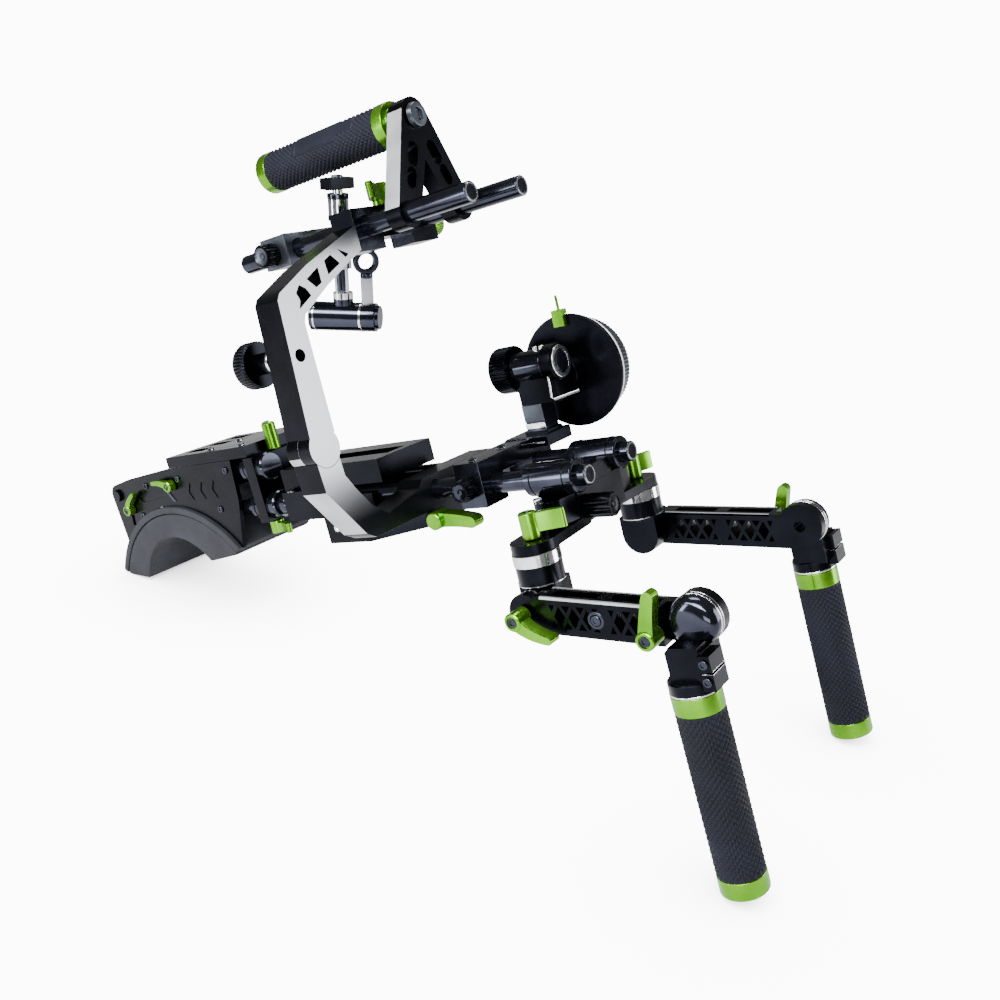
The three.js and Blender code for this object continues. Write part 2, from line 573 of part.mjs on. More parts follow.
// ---- Handlebar ----
function addHandlebarClamp(parent) {
  const clampX = [-50, -8];
  const capTop = SWIVEL.top + 7 + GAP;
  const main = block(clampX, [-48, 48], [-14, 12]);
  const carrier = block([-48, -14], [-30, 30], [-36, -13]);
  const wings = [-1, 1].map((side) => join(
    slab('z', [SWIVEL.top + GAP, capTop],
      strap([SWIVEL.x, side * SWIVEL.y], SWIVEL.radius, [SWIVEL.x - 2, side * 24], 16)),
    slab('z', [SWIVEL.top + 4, -13],
      strap([SWIVEL.x, side * 44], 11, [SWIVEL.x - 2, side * 24], 16))));
  const window = block([clampX[0] - 1, clampX[1] + 1], [-18, 18], [-8, 13]);
  piece(parent, 'handlebar_clamp',
    cut(join(main, carrier, ...wings), window, ...rodBores(0, [-51, -7])), BLACK);
  const knob = frame(parent, 'handlebar_knob_axis',
    { x: -14 + GAP, y: -20, z: -25 }, { ry: 90 });
  piece(knob, 'handlebar_knob', knobSolid(9, 22), BLACK);
  return capTop;
}

function elbowFrame(arm, side) {
  const pose = { x: ARM_LENGTH, z: ELBOW_RISE };
  return frame(arm, `elbow_axis_${side > 0 ? 'left' : 'right'}`, pose, { ry: -GRIP_TILT - ARM_TILT });
}

const ARM_FACE = 8.3; // inner face of the arm, outward of the swivel axis
const ELBOW_FACE = 16.3; // inner face of the elbow, outward of the swivel axis

function armSolid(side) {
  const low = -ARM_HEIGHT / 2;
  const high = ARM_HEIGHT / 2;
  const y = (from, to) => sided(side, from, to);
  const far = ARM_LENGTH - ELBOW_RADIUS - 3.5;
  const wide = y(ARM_FACE, ARM_FACE + ARM_WIDTH);
  const bodyBox = block([8, far], wide, [low, high]);
  const rear = bar('y', wide, ARM_JOINT_RADIUS);
  const lugInner = y(ARM_FACE, ELBOW_FACE - GAP);
  const lug = join(bar('y', lugInner, ELBOW_RADIUS, { x: ARM_LENGTH, z: ELBOW_RISE }),
    block([far - 2, ARM_LENGTH], lugInner, [low, high]));
  const through = y(ARM_FACE - 1, ARM_FACE + ARM_WIDTH + 1);
  const cuts = [];
  for (const start of [27, 72]) {
    for (let i = 0; i < 3; i += 1) {
      const u = start + i * 11;
      const diamond = polygon([[u - 4.2, 0], [u, -7.5], [u + 4.2, 0], [u, 7.5]]);
      cuts.push(slab('y', through, diamond));
    }
  }
  for (const from of [20, 64]) {
    const slot = y(ARM_FACE + 5, ARM_FACE + ARM_WIDTH - 5);
    cuts.push(block([from, from + 34], slot, [8.5, high + 1]));
  }
  const pin = bar('y', through, 4 + GAP);
  const elbowPin = bar('y', through, 4 + GAP, { x: ARM_LENGTH, z: ELBOW_RISE });
  return cut(join(bodyBox, rear, lug), ...cuts, pin, elbowPin);
}

function addHandleUnit(parent, side, word, capTop) {
  const y = (from, to) => sided(side, from, to);
  const leverAxis = frame(parent, `swivel_lever_axis_${word}`,
    { x: SWIVEL.x, y: side * SWIVEL.y, z: capTop + GAP }, { rz: 40 });
  piece(leverAxis, `swivel_lever_${word}`,
    leverSolid({ hub: 6.5, height: 19, length: 30, width: 7, thickness: 13, lift: 6 }), GREEN);

  const swivel = frame(parent, `swivel_axis_${word}`, { x: SWIVEL.x, y: side * SWIVEL.y, z: 0 });
  const drumFoot = SWIVEL.top - SWIVEL.height;
  const lugFace = ARM_FACE - GAP;
  const lug = SWIVEL_LUG_RADIUS;
  const drum = join(
    bar('z', [drumFoot, SWIVEL.top], SWIVEL.radius),
    block([-lug, lug], y(-11, lugFace), [ARM_JOINT_HEIGHT, drumFoot + 1]),
    bar('y', y(-11, lugFace), lug, { z: ARM_JOINT_HEIGHT }),
    bar('y', y(lugFace - 1, ARM_FACE + ARM_WIDTH + 1.5), 4, { z: ARM_JOINT_HEIGHT }));
  piece(swivel, `swivel_drum_${word}`, drum, BLACK);

  const arm = frame(swivel, `arm_axis_${word}`, { z: ARM_JOINT_HEIGHT }, { ry: ARM_TILT });
  piece(arm, `arm_${word}`, armSolid(side), BLACK);

  const outer = ARM_FACE + ARM_WIDTH + 1.5 + GAP;
  const armLever = frame(arm, `arm_lever_axis_${word}`,
    { y: side * outer }, { rx: side > 0 ? -90 : 90, rz: side > 0 ? 45 : -45 });
  piece(armLever, `arm_lever_${word}`,
    leverSolid({ hub: 6.5, height: 15, length: 24, width: 9, thickness: 9, lift: 5 }), GREEN);

  const elbow = elbowFrame(arm, side);
  const { x: gripX, y: gripY } = GRIP_OFFSET;
  const grip = { x: gripX, y: side * gripY };
  const neck = join(
    bar('y', y(ELBOW_FACE, ELBOW_FACE + 14), ELBOW_RADIUS),
    block([-15, gripX + 16], y(ELBOW_FACE, gripY + 10), [-32, -11]),
    bar('z', [GRIP_TOP + GAP, -30], GRIP_RADIUS, grip),
    block([gripX + 12, gripX + 21], y(gripY - 6, gripY + 12), [GRIP_TOP + 4, -14]));
  const elbowPin = bar('y', y(ARM_FACE - 1.5, ELBOW_FACE + 1), 4);
  const stub = bar('z', [GRIP_TOP - 1, GRIP_TOP + 12], 6 + GAP, grip);
  piece(elbow, `elbow_${word}`, cut(join(neck, elbowPin), stub), BLACK);
  const elbowLever = frame(arm, `elbow_lever_axis_${word}`,
    { x: ARM_LENGTH - ELBOW_RADIUS - 8.5, y: side * (ARM_FACE + ARM_WIDTH + GAP), z: -4 },
    { rx: side > 0 ? -90 : 90, rz: side > 0 ? -84 : 84 });
  piece(elbowLever, `elbow_lever_${word}`,
    leverSolid({ hub: 6.5, height: 15, length: 27, width: 11, thickness: 8, lift: 5 }), GREEN);

  const gripAxis = frame(elbow, `grip_axis_${word}`, { ...grip, z: GRIP_TOP });
  const ringFoot = -GRIP_RING_WIDTH;
  const capTopZ = ringFoot - GRIP_SLEEVE_LENGTH;
  const core = join(bar('z', [-1, 10], 6),
    bar('z', [ringFoot, 0], GRIP_RADIUS),
    bar('z', [capTopZ - 1, ringFoot + 1], CORE_RADIUS),
    bar('z', [capTopZ - GRIP_RING_WIDTH, capTopZ], GRIP_RADIUS));
  piece(gripAxis, `grip_core_${word}`, core, GREEN);
  const sleeve = bar('z', [capTopZ + GAP, ringFoot - GAP], GRIP_RADIUS - 0.3);
  piece(gripAxis, `grip_sleeve_${word}`, cut(sleeve,
    bar('z', [capTopZ - 1, ringFoot + 1], CORE_RADIUS + GAP)), RUBBER);
}

// ---- Resting pitch ----
// The rear rim of a grip's foot, in the layout's own X and Z.
function gripFoot() {
  const turned = (point, degrees) => {
    const angle = THREE.MathUtils.degToRad(degrees);
    return {
      x: point.x * Math.cos(angle) + point.z * Math.sin(angle),
      z: -point.x * Math.sin(angle) + point.z * Math.cos(angle),
    };
  };
  const foot = GRIP_TOP - 2 * GRIP_RING_WIDTH - GRIP_SLEEVE_LENGTH;
  const rim = turned({ x: GRIP_OFFSET.x - GRIP_RADIUS, z: foot }, -GRIP_TILT);
  const elbow = turned({ x: ARM_LENGTH, z: ELBOW_RISE }, ARM_TILT);
  return { x: SWIVEL.x + elbow.x + rim.x, z: ARM_JOINT_HEIGHT + elbow.z + rim.z };
}

const foot = gripFoot();
const pitch = Math.atan2(PAD_HEEL.z - foot.z, foot.x - PAD_HEEL.x);

const cameraRig = new THREE.Group();
const rig = frame(cameraRig, 'rig', {});
rig.rotation.y = -pitch;
addRodPair(rig, 'lower_rod', [-LOWER_ROD_LENGTH, 0], 0);
addRodPair(rig, 'shoulder_rod', [SHOULDER_ROD_REAR, SHOULDER_ROD_FRONT], SHOULDER_ROD_HEIGHT);
addShoulderUnit(rig);
addBase(rig);
const cage = addCageArm(rig);
addRodPair(cage, 'top_rod', [TOP_ROD_REAR, TOP_ROD_FRONT], TOP_ROD_HEIGHT);
addHandle(cage);
addAccessory(cage, pitch);
addFollowFocus(rig);
const capTop = addHandlebarClamp(rig);
addHandleUnit(rig, -1, 'right', capTop);
addHandleUnit(rig, 1, 'left', capTop);

const box = new THREE.Box3().setFromObject(rig, true);
const middle = box.getCenter(new THREE.Vector3());
rig.position.set(-middle.x, -middle.y, -box.min.z);

export default cameraRig;
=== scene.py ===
"""A shoulder camera rig on 15 mm rods: anodised clamps and levers, rubber grips, a foam pad."""

import json
import math

import bmesh
import bpy
from mathutils import Matrix, Vector


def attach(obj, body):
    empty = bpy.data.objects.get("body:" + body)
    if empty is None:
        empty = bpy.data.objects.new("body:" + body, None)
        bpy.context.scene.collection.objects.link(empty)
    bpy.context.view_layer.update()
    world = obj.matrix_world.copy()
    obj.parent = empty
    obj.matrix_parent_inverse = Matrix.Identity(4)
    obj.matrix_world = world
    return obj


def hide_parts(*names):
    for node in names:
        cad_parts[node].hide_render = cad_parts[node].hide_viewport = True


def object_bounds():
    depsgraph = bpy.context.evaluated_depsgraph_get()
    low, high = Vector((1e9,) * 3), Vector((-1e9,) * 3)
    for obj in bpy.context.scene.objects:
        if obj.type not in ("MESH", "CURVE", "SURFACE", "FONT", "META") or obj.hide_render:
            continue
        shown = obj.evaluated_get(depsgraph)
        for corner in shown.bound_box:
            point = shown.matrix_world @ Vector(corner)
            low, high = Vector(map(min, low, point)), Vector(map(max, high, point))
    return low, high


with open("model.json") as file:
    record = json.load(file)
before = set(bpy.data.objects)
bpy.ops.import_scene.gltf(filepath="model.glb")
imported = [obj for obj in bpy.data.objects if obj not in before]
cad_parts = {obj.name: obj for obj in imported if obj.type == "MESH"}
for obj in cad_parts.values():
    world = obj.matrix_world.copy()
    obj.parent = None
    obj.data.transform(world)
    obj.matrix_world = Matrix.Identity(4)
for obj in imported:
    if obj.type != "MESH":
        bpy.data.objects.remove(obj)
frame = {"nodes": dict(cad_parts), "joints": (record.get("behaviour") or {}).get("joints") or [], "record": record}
cad_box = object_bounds()

# ---- Where things are ----
MM = 0.001
joints = {joint["name"]: joint for joint in frame["joints"]}
node_body = {
    node: body
    for body, nodes in frame["record"]["behaviour"]["bodies"].items()
    for node in nodes
}
LEFTWARD = Vector((0, 1, 0))
FORWARD = Vector(joints["handlebar_slide"]["axis"])
HANDLEBAR_MIDDLE = -29 * MM  # the handlebar clamp's middle, from the front end of the lower rods
ROD_SPREAD = 30  # from the rig's middle to a rod's line
UPPER_RODS = 35  # height of the shoulder rods over the lower rods
TOP_RODS = 201.3  # height of the top rods over the lower rods


def rig_frame():
    """The layout square to the lower rods, from the front ends of the rods, in the row frame."""
    upward = FORWARD.cross(LEFTWARD)
    turn = Matrix((FORWARD, LEFTWARD, upward)).transposed().to_4x4()
    start = Vector(joints["handlebar_slide"]["pos_m"]) - FORWARD * HANDLEBAR_MIDDLE
    return Matrix.Translation(start) @ turn


RIG = rig_frame()


def at_rig(x=0, y=0, z=0):
    """A frame square to the lower rods, at a place given in millimetres."""
    return RIG @ Matrix.Translation(Vector((x, y, z)) * MM)


def at_joint(name, tilt=0):
    """A frame at a joint, square to the lower rods, then tilted nose down by that many degrees."""
    place = Matrix.Translation(Vector(joints[name]["pos_m"])) @ RIG.to_3x3().to_4x4()
    return place @ Matrix.Rotation(math.radians(tilt), 4, "Y")


def along(name):
    """A frame at a joint with Z along the joint's axis and X as near as it can be to upward."""
    axis = Vector(joints[name]["axis"]).normalized()
    upward = RIG.to_3x3() @ Vector((0, 0, 1))
    x = (upward - axis * upward.dot(axis)).normalized()
    turn = Matrix((x, axis.cross(x), axis)).transposed().to_4x4()
    return Matrix.Translation(Vector(joints[name]["pos_m"])) @ turn


# ---- Materials ----
def linear(hex_colour):
    """An sRGB hex colour as linear RGBA."""
    channels = [int(hex_colour[i : i + 2], 16) / 255 for i in (1, 3, 5)]
    lit = [c / 12.92 if c <= 0.04045 else ((c + 0.055) / 1.055) ** 2.4 for c in channels]
    return (*lit, 1.0)


def add(tree, kind, settings=None, links=None, **attributes):
    """Adds a node, sets its input values and attributes, and links other nodes' outputs into it."""
    node = tree.nodes.new(kind)
    for name, value in attributes.items():
        setattr(node, name, value)
    for name, value in (settings or {}).items():
        node.inputs[name].default_value = value
    for name, source in (links or {}).items():
        tree.links.new(source, node.inputs[name])
    return node


def new_material(name):
    """A material with its shader, its node tree and its object coordinates."""
    material = bpy.data.materials.new(name)
    material.use_nodes = True
    tree = material.node_tree
    tree.nodes.clear()
    shader = add(tree, "ShaderNodeBsdfPrincipled")
    add(tree, "ShaderNodeOutputMaterial", links={"Surface": shader.outputs["BSDF"]})
    place = add(tree, "ShaderNodeTexCoord").outputs["Object"]
    return material, tree, shader, place


def per_metre(millimetres):
    """The scale of a pattern whose cells are this many millimetres across."""
    return 1000 / millimetres


def noise(tree, place, millimetres, detail=3):
    settings = {"Scale": per_metre(millimetres), "Detail": detail}
    return add(tree, "ShaderNodeTexNoise", settings, {"Vector": place}).outputs["Fac"]


def mixed_colours(tree, factor, dark, light, low=0.35, high=0.65):
    ramp = add(tree, "ShaderNodeValToRGB", links={"Fac": factor})
    ramp.color_ramp.elements[0].position = low
    ramp.color_ramp.elements[0].color = linear(dark)
    ramp.color_ramp.elements[1].position = high
    ramp.color_ramp.elements[1].color = linear(light)
    return ramp.outputs["Color"]


def spread(tree, factor, low, high):
    """Turns a 0 to 1 pattern into a range of values."""
    settings = {"To Min": low, "To Max": high}
    return add(tree, "ShaderNodeMapRange", settings, {"Value": factor}).outputs["Result"]


def surface(name, colours, rough, metal, drift=30, grain=0.8, bump=0.03, depth=0.1, shine=0.5):
    """A finish whose colour and shine drift slowly and whose skin has a fine grain."""
    material, tree, shader, place = new_material(name)
    slow = noise(tree, place, drift, 4)
    fine = noise(tree, place, grain, 2)
    tree.links.new(mixed_colours(tree, slow, *colours), shader.inputs["Base Color"])
    tree.links.new(spread(tree, slow, *rough), shader.inputs["Roughness"])
    settings = {"Strength": bump, "Distance": depth * MM}
    skin = add(tree, "ShaderNodeBump", settings, {"Height": fine})
    tree.links.new(skin.outputs["Normal"], shader.inputs["Normal"])
    shader.inputs["Metallic"].default_value = metal
    shader.inputs["Specular IOR Level"].default_value = shine
    return material


# Hard-anodised aluminium: near black with a cold cast, satin, so that only turned faces flash.
BLACK = surface("black_anodised_aluminium", ("#08090e", "#0f1118"), (0.2, 0.3), 0.93)
# The same anodising on a finer cut: a glossy black that mirrors the room in bright bands.
GLOSS = surface("polished_black_anodised_aluminium", ("#2a2c35", "#3a3d48"), (0.09, 0.16), 0.95)
# Dyed lime anodising over machined aluminium: saturated in shade and pale where it catches light.
GREEN = surface("lime_anodised_aluminium", ("#508a12", "#69a524"), (0.2, 0.3), 0.9)
# Fine-milled bare aluminium: an even pale grey face.
SATIN = surface("milled_aluminium", ("#a9abb0", "#c2c4c8"), (0.3, 0.42), 0.75)
# Grey anodising over machined aluminium: a mid blue-grey.
GREY = surface("grey_anodised_aluminium", ("#3c4048", "#555a63"), (0.25, 0.35), 0.85)
# Turned and polished steel: hard bright lines.
CHROME = surface("polished_steel", ("#d0d2d6", "#e8e9ec"), (0.08, 0.16), 1.0, drift=12)
# Moulded rubber: navy black and matt, with a faint bloom on its ridges.
RUBBER = surface(
    "moulded_navy_rubber", ("#0b0c15", "#11131f"), (0.5, 0.65), 0,
    grain=0.5, bump=0.2, depth=0.2, shine=0.15,
)
# Dense moulded foam: charcoal, with an open pebble that breaks up the light.
FOAM = surface(
    "moulded_foam", ("#191a1f", "#24262c"), (0.6, 0.75), 0,
    grain=1.4, bump=0.3, depth=0.3, shine=0.3,
)
# White engraving enamel.
WHITE = surface("white_enamel", ("#e6e7ea", "#f4f4f6"), (0.35, 0.45), 0)
FINISHES = {
    "green_anodised": GREEN,
    "black_anodised": BLACK,
    "grey_anodised": GREY,
    "polished_rod": GLOSS,
    "bright_metal": CHROME,
    "grip_rubber": RUBBER,
    "pad_foam": FOAM,
}
node_slot = {part["node"]: part["material_slot"] for part in frame["record"]["subparts"]}

# ---- Making pieces ----
# Each maps a drawing's own two directions and its depth to an axis.
ALONG = {
    "x": Matrix(((0, 0, 1, 0), (1, 0, 0, 0), (0, 1, 0, 0), (0, 0, 0, 1))),
    "y": Matrix(((1, 0, 0, 0), (0, 0, 1, 0), (0, 1, 0, 0), (0, 0, 0, 1))),
    "z": Matrix.Identity(4),
}


def spot(axis, x=0, y=0, z=0):
    """A place for a drawing that stands along an axis."""
    return Matrix.Translation((x, y, z)) @ ALONG[axis]


RING_SIDES = 64
WIRE_SIDES = 12


def circle(radius, sides):
    """Points round a circle."""
    turns = [2 * math.pi * i / sides for i in range(sides)]
    return [(radius * math.cos(turn), radius * math.sin(turn)) for turn in turns]


def hexagon(angle):
    """How far a hexagon's side lies from its middle at an angle, against its corners."""
    third = math.pi / 3
    return math.cos(third / 2) / math.cos(angle % third - third / 2)


class Piece:
    """The faces of one visible piece, drawn in millimetres in a frame of its own."""

    def __init__(self, place):
        self.shape = bmesh.new()
        self.place = place @ Matrix.Scale(MM, 4)
        self.materials = []

    def vertex(self, place, point):
        return self.shape.verts.new(self.place @ place @ Vector(point))

    def face(self, corners, material):
        if material not in self.materials:
            self.materials.append(material)
        self.shape.faces.new(corners).material_index = self.materials.index(material)

    def skin(self, rings, material, ends=(True, True)):
        """Joins rings of vertices. A ring of one is a point, and ends says which end is closed."""
        for lower, upper in zip(rings, rings[1:]):
            sides = max(len(lower), len(upper))
            for i in range(sides):
                corners = [lower[i % len(lower)], lower[(i + 1) % len(lower)]]
                corners += [upper[(i + 1) % len(upper)], upper[i % len(upper)]]
                self.face(list(dict.fromkeys(corners)), material)
        for ring, closed in zip((rings[0], rings[-1]), ends):
            if closed and len(ring) > 2:
                self.face(ring, material)

    def lathe(self, profile, material, place=ALONG["z"], sides=48, ribs=0, depth=0, hexed=(),
              ends=(True, True)):
        """Turns (radius, height) points round a drawing's axis.

        A third value marks a ribbed ring, and hexed numbers the rings that are six-sided.
        """
        sides = ribs * 4 if ribs else sides
        rings = []
        for index, (radius, height, *ribbed) in enumerate(profile):
            ring = []
            for i in range(sides if radius else 1):
                angle = 2 * math.pi * i / sides
                reach = radius - (depth if ribbed and i % 4 > 1 else 0)
                reach *= hexagon(angle) if index in hexed else 1
                point = (reach * math.cos(angle), reach * math.sin(angle), height)
                ring.append(self.vertex(place, point))
            rings.append(ring)
        self.skin(rings, material, ends)

    def rod(self, low, high, radius, material, place=ALONG["z"], edge=0.5, sides=48):
        profile = [(radius - edge, low), (radius, low + edge)]
        profile += [(radius, high - edge), (radius - edge, high)]
        self.lathe(profile, material, place, sides)

    def ring(self, low, high, inner, outer, material, place=ALONG["z"], edge=0.2):
        """A tube or a band round a drawing's axis."""
        profile = [(inner, low), (outer - edge, low), (outer, low + edge)]
        profile += [(outer, high - edge), (outer - edge, high), (inner, high), (inner, low)]
        rings = []
        for radius, height in profile:
            points = [(*point, height) for point in circle(radius, RING_SIDES)]
            rings.append([self.vertex(place, point) for point in points])
        for lower, upper in zip(rings, rings[1:]):
            for i in range(RING_SIDES):
                self.face([lower[i], lower[i - 1], upper[i - 1], upper[i]], material)

    def screw(self, place, radius, height=2, material=GLOSS):
        """A socket head screw standing on a drawing's plane."""
        socket = radius * 0.55
        profile = [(radius, 0), (radius, height - 0.4), (radius - 0.4, height), (socket, height)]
        profile += [(socket, height * 0.35), (0, height * 0.3)]
        self.lathe(profile, material, place, 24, hexed=(3, 4))

    def prism(self, outline, low, high, material, place=ALONG["z"]):
        """An outline drawn out from one height to another."""
        bottom, top = ([self.vertex(place, (u, v, w)) for u, v in outline] for w in (low, high))
        self.skin([bottom, top], material)

    def box(self, x, y, z, material):
        outline = [(x[0], y[0]), (x[1], y[0]), (x[1], y[1]), (x[0], y[1])]
        self.prism(outline, *z, material)

    def wire(self, path, radius, material):
        """A round wire along a few points."""
        points = [Vector(point) for point in path]
        rings = []
        for i, point in enumerate(points):
            ahead = points[min(i + 1, len(points) - 1)] - points[max(i - 1, 0)]
            turn = ahead.to_track_quat("Z", "Y").to_matrix()
            ring = [point + turn @ Vector((*place, 0)) for place in circle(radius, WIRE_SIDES)]
            rings.append([self.vertex(ALONG["z"], corner) for corner in ring])
        self.skin(rings, material)

    def done(self, name, body, bevel=0.0, replaces=(), smooth=35):
        """Puts the piece in the scene, on its body."""
        bmesh.ops.recalc_face_normals(self.shape, faces=self.shape.faces)
        data = bpy.data.meshes.new(name)
        self.shape.to_mesh(data)
        self.shape.free()
        return place_piece(name, data, self.materials, body, bevel, replaces, smooth)


def apply_modifiers(obj):
    """Leaves a piece as its modifiers show it."""
    shown = obj.evaluated_get(bpy.context.evaluated_depsgraph_get())
    made = bpy.data.meshes.new_from_object(shown)
    obj.modifiers.clear()
    obj.data = made


def round_edges(obj, bevel, smooth):
    """Rounds the sharp edges of a piece and smooths its curved faces."""
    if bevel:
        rounding = obj.modifiers.new("edge_rounding", "BEVEL")
        rounding.width = bevel * MM
        rounding.segments = 2
        rounding.limit_method = "ANGLE"
        rounding.angle_limit = math.radians(30)
        apply_modifiers(obj)
    obj.data.polygons.foreach_set("use_smooth", [True] * len(obj.data.polygons))
    with bpy.context.temp_override(object=obj, active_object=obj, selected_editable_objects=[obj]):
        bpy.ops.object.shade_smooth_by_angle(angle=math.radians(smooth))
    if bevel:
        flattening = obj.modifiers.new("flat_faces", "WEIGHTED_NORMAL")
        flattening.keep_sharp = True
        apply_modifiers(obj)


def place_piece(name, data, materials, body, bevel, replaces, smooth=35):
    """Puts a finished mesh in the scene, on its body, for the machined nodes it stands for."""
    obj = bpy.data.objects.new(name, data)
    bpy.context.scene.collection.objects.link(obj)
    for material in materials:
        data.materials.append(material)
    round_edges(obj, bevel, smooth)
    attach(obj, body)
    if replaces:
        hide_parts(*replaces)
    return obj


def measure(node, place):
    """The lowest and highest corners of a machined piece in a frame, in millimetres."""
    inward = place.inverted()
    points = [inward @ vertex.co / MM for vertex in frame["nodes"][node].data.vertices]
    low, high = (Vector([pick(p[i] for p in points) for i in range(3)]) for pick in (min, max))
    return low, high


def facing(direction, cosine=0.9, least=0.0):
    """A rule that picks the faces that look along a direction and are over so many square mm."""
    towards = (RIG.to_3x3() @ Vector(direction)).normalized()
    return lambda face: face.normal.dot(towards) > cosine and face.calc_area() > least * MM**2


def without(data, cutter):
    """A mesh with another piece's solids cut out of it."""
    bmesh.ops.recalc_face_normals(cutter.shape, faces=cutter.shape.faces)
    tool_data = bpy.data.meshes.new("cutter")
    cutter.shape.to_mesh(tool_data)
    cutter.shape.free()
    whole, tool = (bpy.data.objects.new("cutting", mesh) for mesh in (data, tool_data))
    for obj in (whole, tool):
        bpy.context.scene.collection.objects.link(obj)
    cutting = whole.modifiers.new("cut", "BOOLEAN")
    cutting.object = tool
    cutting.operation = "DIFFERENCE"
    cutting.solver = "EXACT"
    shown = whole.evaluated_get(bpy.context.evaluated_depsgraph_get())
    made = bpy.data.meshes.new_from_object(shown)
    for obj in (whole, tool):
        bpy.data.objects.remove(obj)
    return made


def dressed(node, bevel=0.45, finish=None, accents=(), cutters=()):
    """A finished copy of a machined piece, with broken edges and other finishes on chosen faces."""
    shape = bmesh.new()
    shape.from_mesh(frame["nodes"][node].data)
    bmesh.ops.remove_doubles(shape, verts=shape.verts, dist=1e-6)
    bmesh.ops.dissolve_limit(
        shape, angle_limit=math.radians(1), verts=shape.verts, edges=shape.edges
    )
    shape.normal_update()
    for index, (_, rule) in enumerate(accents, 1):
        for face in shape.faces:
            if rule(face):
                face.material_index = index
    data = bpy.data.meshes.new(f"{node}_finished")
    shape.to_mesh(data)
    shape.free()
    slot = node_slot[node]
    for cutter in cutters:
        data = without(data, cutter)
    materials = [finish or FINISHES[slot], *(material for material, _ in accents)]
    return place_piece(
        f"{node}_finished", data, materials, node_body[node], bevel, [node]
    )


SIDES = (("right", -1), ("left", 1))
remade = set()  # machined nodes that already have their finished piece

# ---- Rubber sleeves ----
DIAMOND_ROUND = 24  # diamonds round a sleeve
DIAMOND_LENGTH = 4.4
SAMPLES = 6  # grid steps across a diamond
GROOVE = 1.1  # depth between the diamonds
SLEEVE_BORE = 9.5
SLEEVE_SWELL = 0.25  # how far the soft ridges stand over the machined size
SLEEVE_EDGE = 0.3  # from a sleeve's end to its first row
PLAIN_END = 1.6  # the unpatterned stretch at each end


def sleeve(name, node, place, panel=None):
    """A rubber sleeve with a lattice of raised diamonds, and a smooth panel where one is given."""
    low, high = measure(node, place)
    radius = (high.x - low.x) / 2 + SLEEVE_SWELL
    bottom, top = low.z, high.z
    rows = round((top - bottom) / DIAMOND_LENGTH)
    around = DIAMOND_ROUND * SAMPLES
    count = rows * SAMPLES
    piece = Piece(place)
    first, length = bottom + SLEEVE_EDGE, top - bottom - 2 * SLEEVE_EDGE
    steps = [first + length * i / count for i in range(count + 1)]
    loops = []
    for height in (bottom, *steps, top):
        share = (height - bottom) / (top - bottom) * rows
        plain = min(height - bottom, top - height) < PLAIN_END
        loop = []
        for i in range(around):
            u = i / SAMPLES
            lattice = max(abs(math.cos(math.pi * (u + way * share))) for way in (1, -1))
            sunk = GROOVE * (0.35 if plain else lattice**5)
            angle = 2 * math.pi * i / around
            if panel:
                sunk = panel(height, angle, sunk)
            reach = radius - sunk
            point = (reach * math.cos(angle), reach * math.sin(angle), height)
            loop.append(piece.vertex(ALONG["z"], point))
        loops.append(loop)
    for height in (top, bottom):
        bore = [(*point, height) for point in circle(SLEEVE_BORE, around)]
        loops.append([piece.vertex(ALONG["z"], point) for point in bore])
    loops.append(loops[0])
    for lower, upper in zip(loops, loops[1:]):
        for i in range(around):
            piece.face([lower[i - 1], lower[i], upper[i], upper[i - 1]], RUBBER)
    obj = piece.done(name, node_body[node], replaces=[node], smooth=60)
    remade.add(node)


PANEL_TURN = 140  # from the left side, over the top, towards the right
PANEL_MIDDLE = -180
PANEL_HALF_LENGTH = 33
PANEL_WIDE, PANEL_NARROW = 34, 20  # degrees to each side
PANEL_STEP = 0.45  # where the panel narrows, as a share of half its length
PANEL_RIM = 5  # degrees


def handle_panel(height, angle, sunk):
    """A bare tablet with a raised rim on top of the handle, with a stepped end."""
    across = (math.degrees(angle) - PANEL_TURN + 180) % 360 - 180
    middle = (height - PANEL_MIDDLE) / PANEL_HALF_LENGTH
    reach = PANEL_WIDE if middle < PANEL_STEP else PANEL_NARROW
    if abs(middle) > 1 or abs(across) > reach:
        return sunk
    rim = abs(middle) > 0.93 or abs(across) > reach - PANEL_RIM
    return -0.15 if rim else 0.45


GRIP_TILT = 2.1  # degrees that the grips lean, nose down
for word, _ in SIDES:
    sleeve(f"knurled_grip_{word}", f"grip_sleeve_{word}", at_joint(f"grip_{word}_turn", -GRIP_TILT))
HANDLE_HEIGHT = 266.7
HANDLE_LINE = at_rig(z=HANDLE_HEIGHT) @ ALONG["x"]
sleeve("knurled_top_handle", "handle_sleeve", HANDLE_LINE, handle_panel)


# ---- Cam levers ----
def lever_frame(joint, node):
    """The joint's own frame, turned so that X runs along the lever."""
    start = Vector(joints[joint]["pos_m"])
    axis = Vector(joints[joint]["axis"]).normalized()
    corners = [vertex.co for vertex in frame["nodes"][node].data.vertices]
    reach = sum(corners, Vector()) / len(corners) - start
    x = (reach - axis * reach.dot(axis)).normalized()
    turn = Matrix((x, axis.cross(x), axis)).transposed().to_4x4()
    return Matrix.Translation(start) @ turn


SWEEP = 0.3  # a wing's sideways sweep for a bend of one, as a share of its length
LEAN = 0.6  # the slope of that wing's end


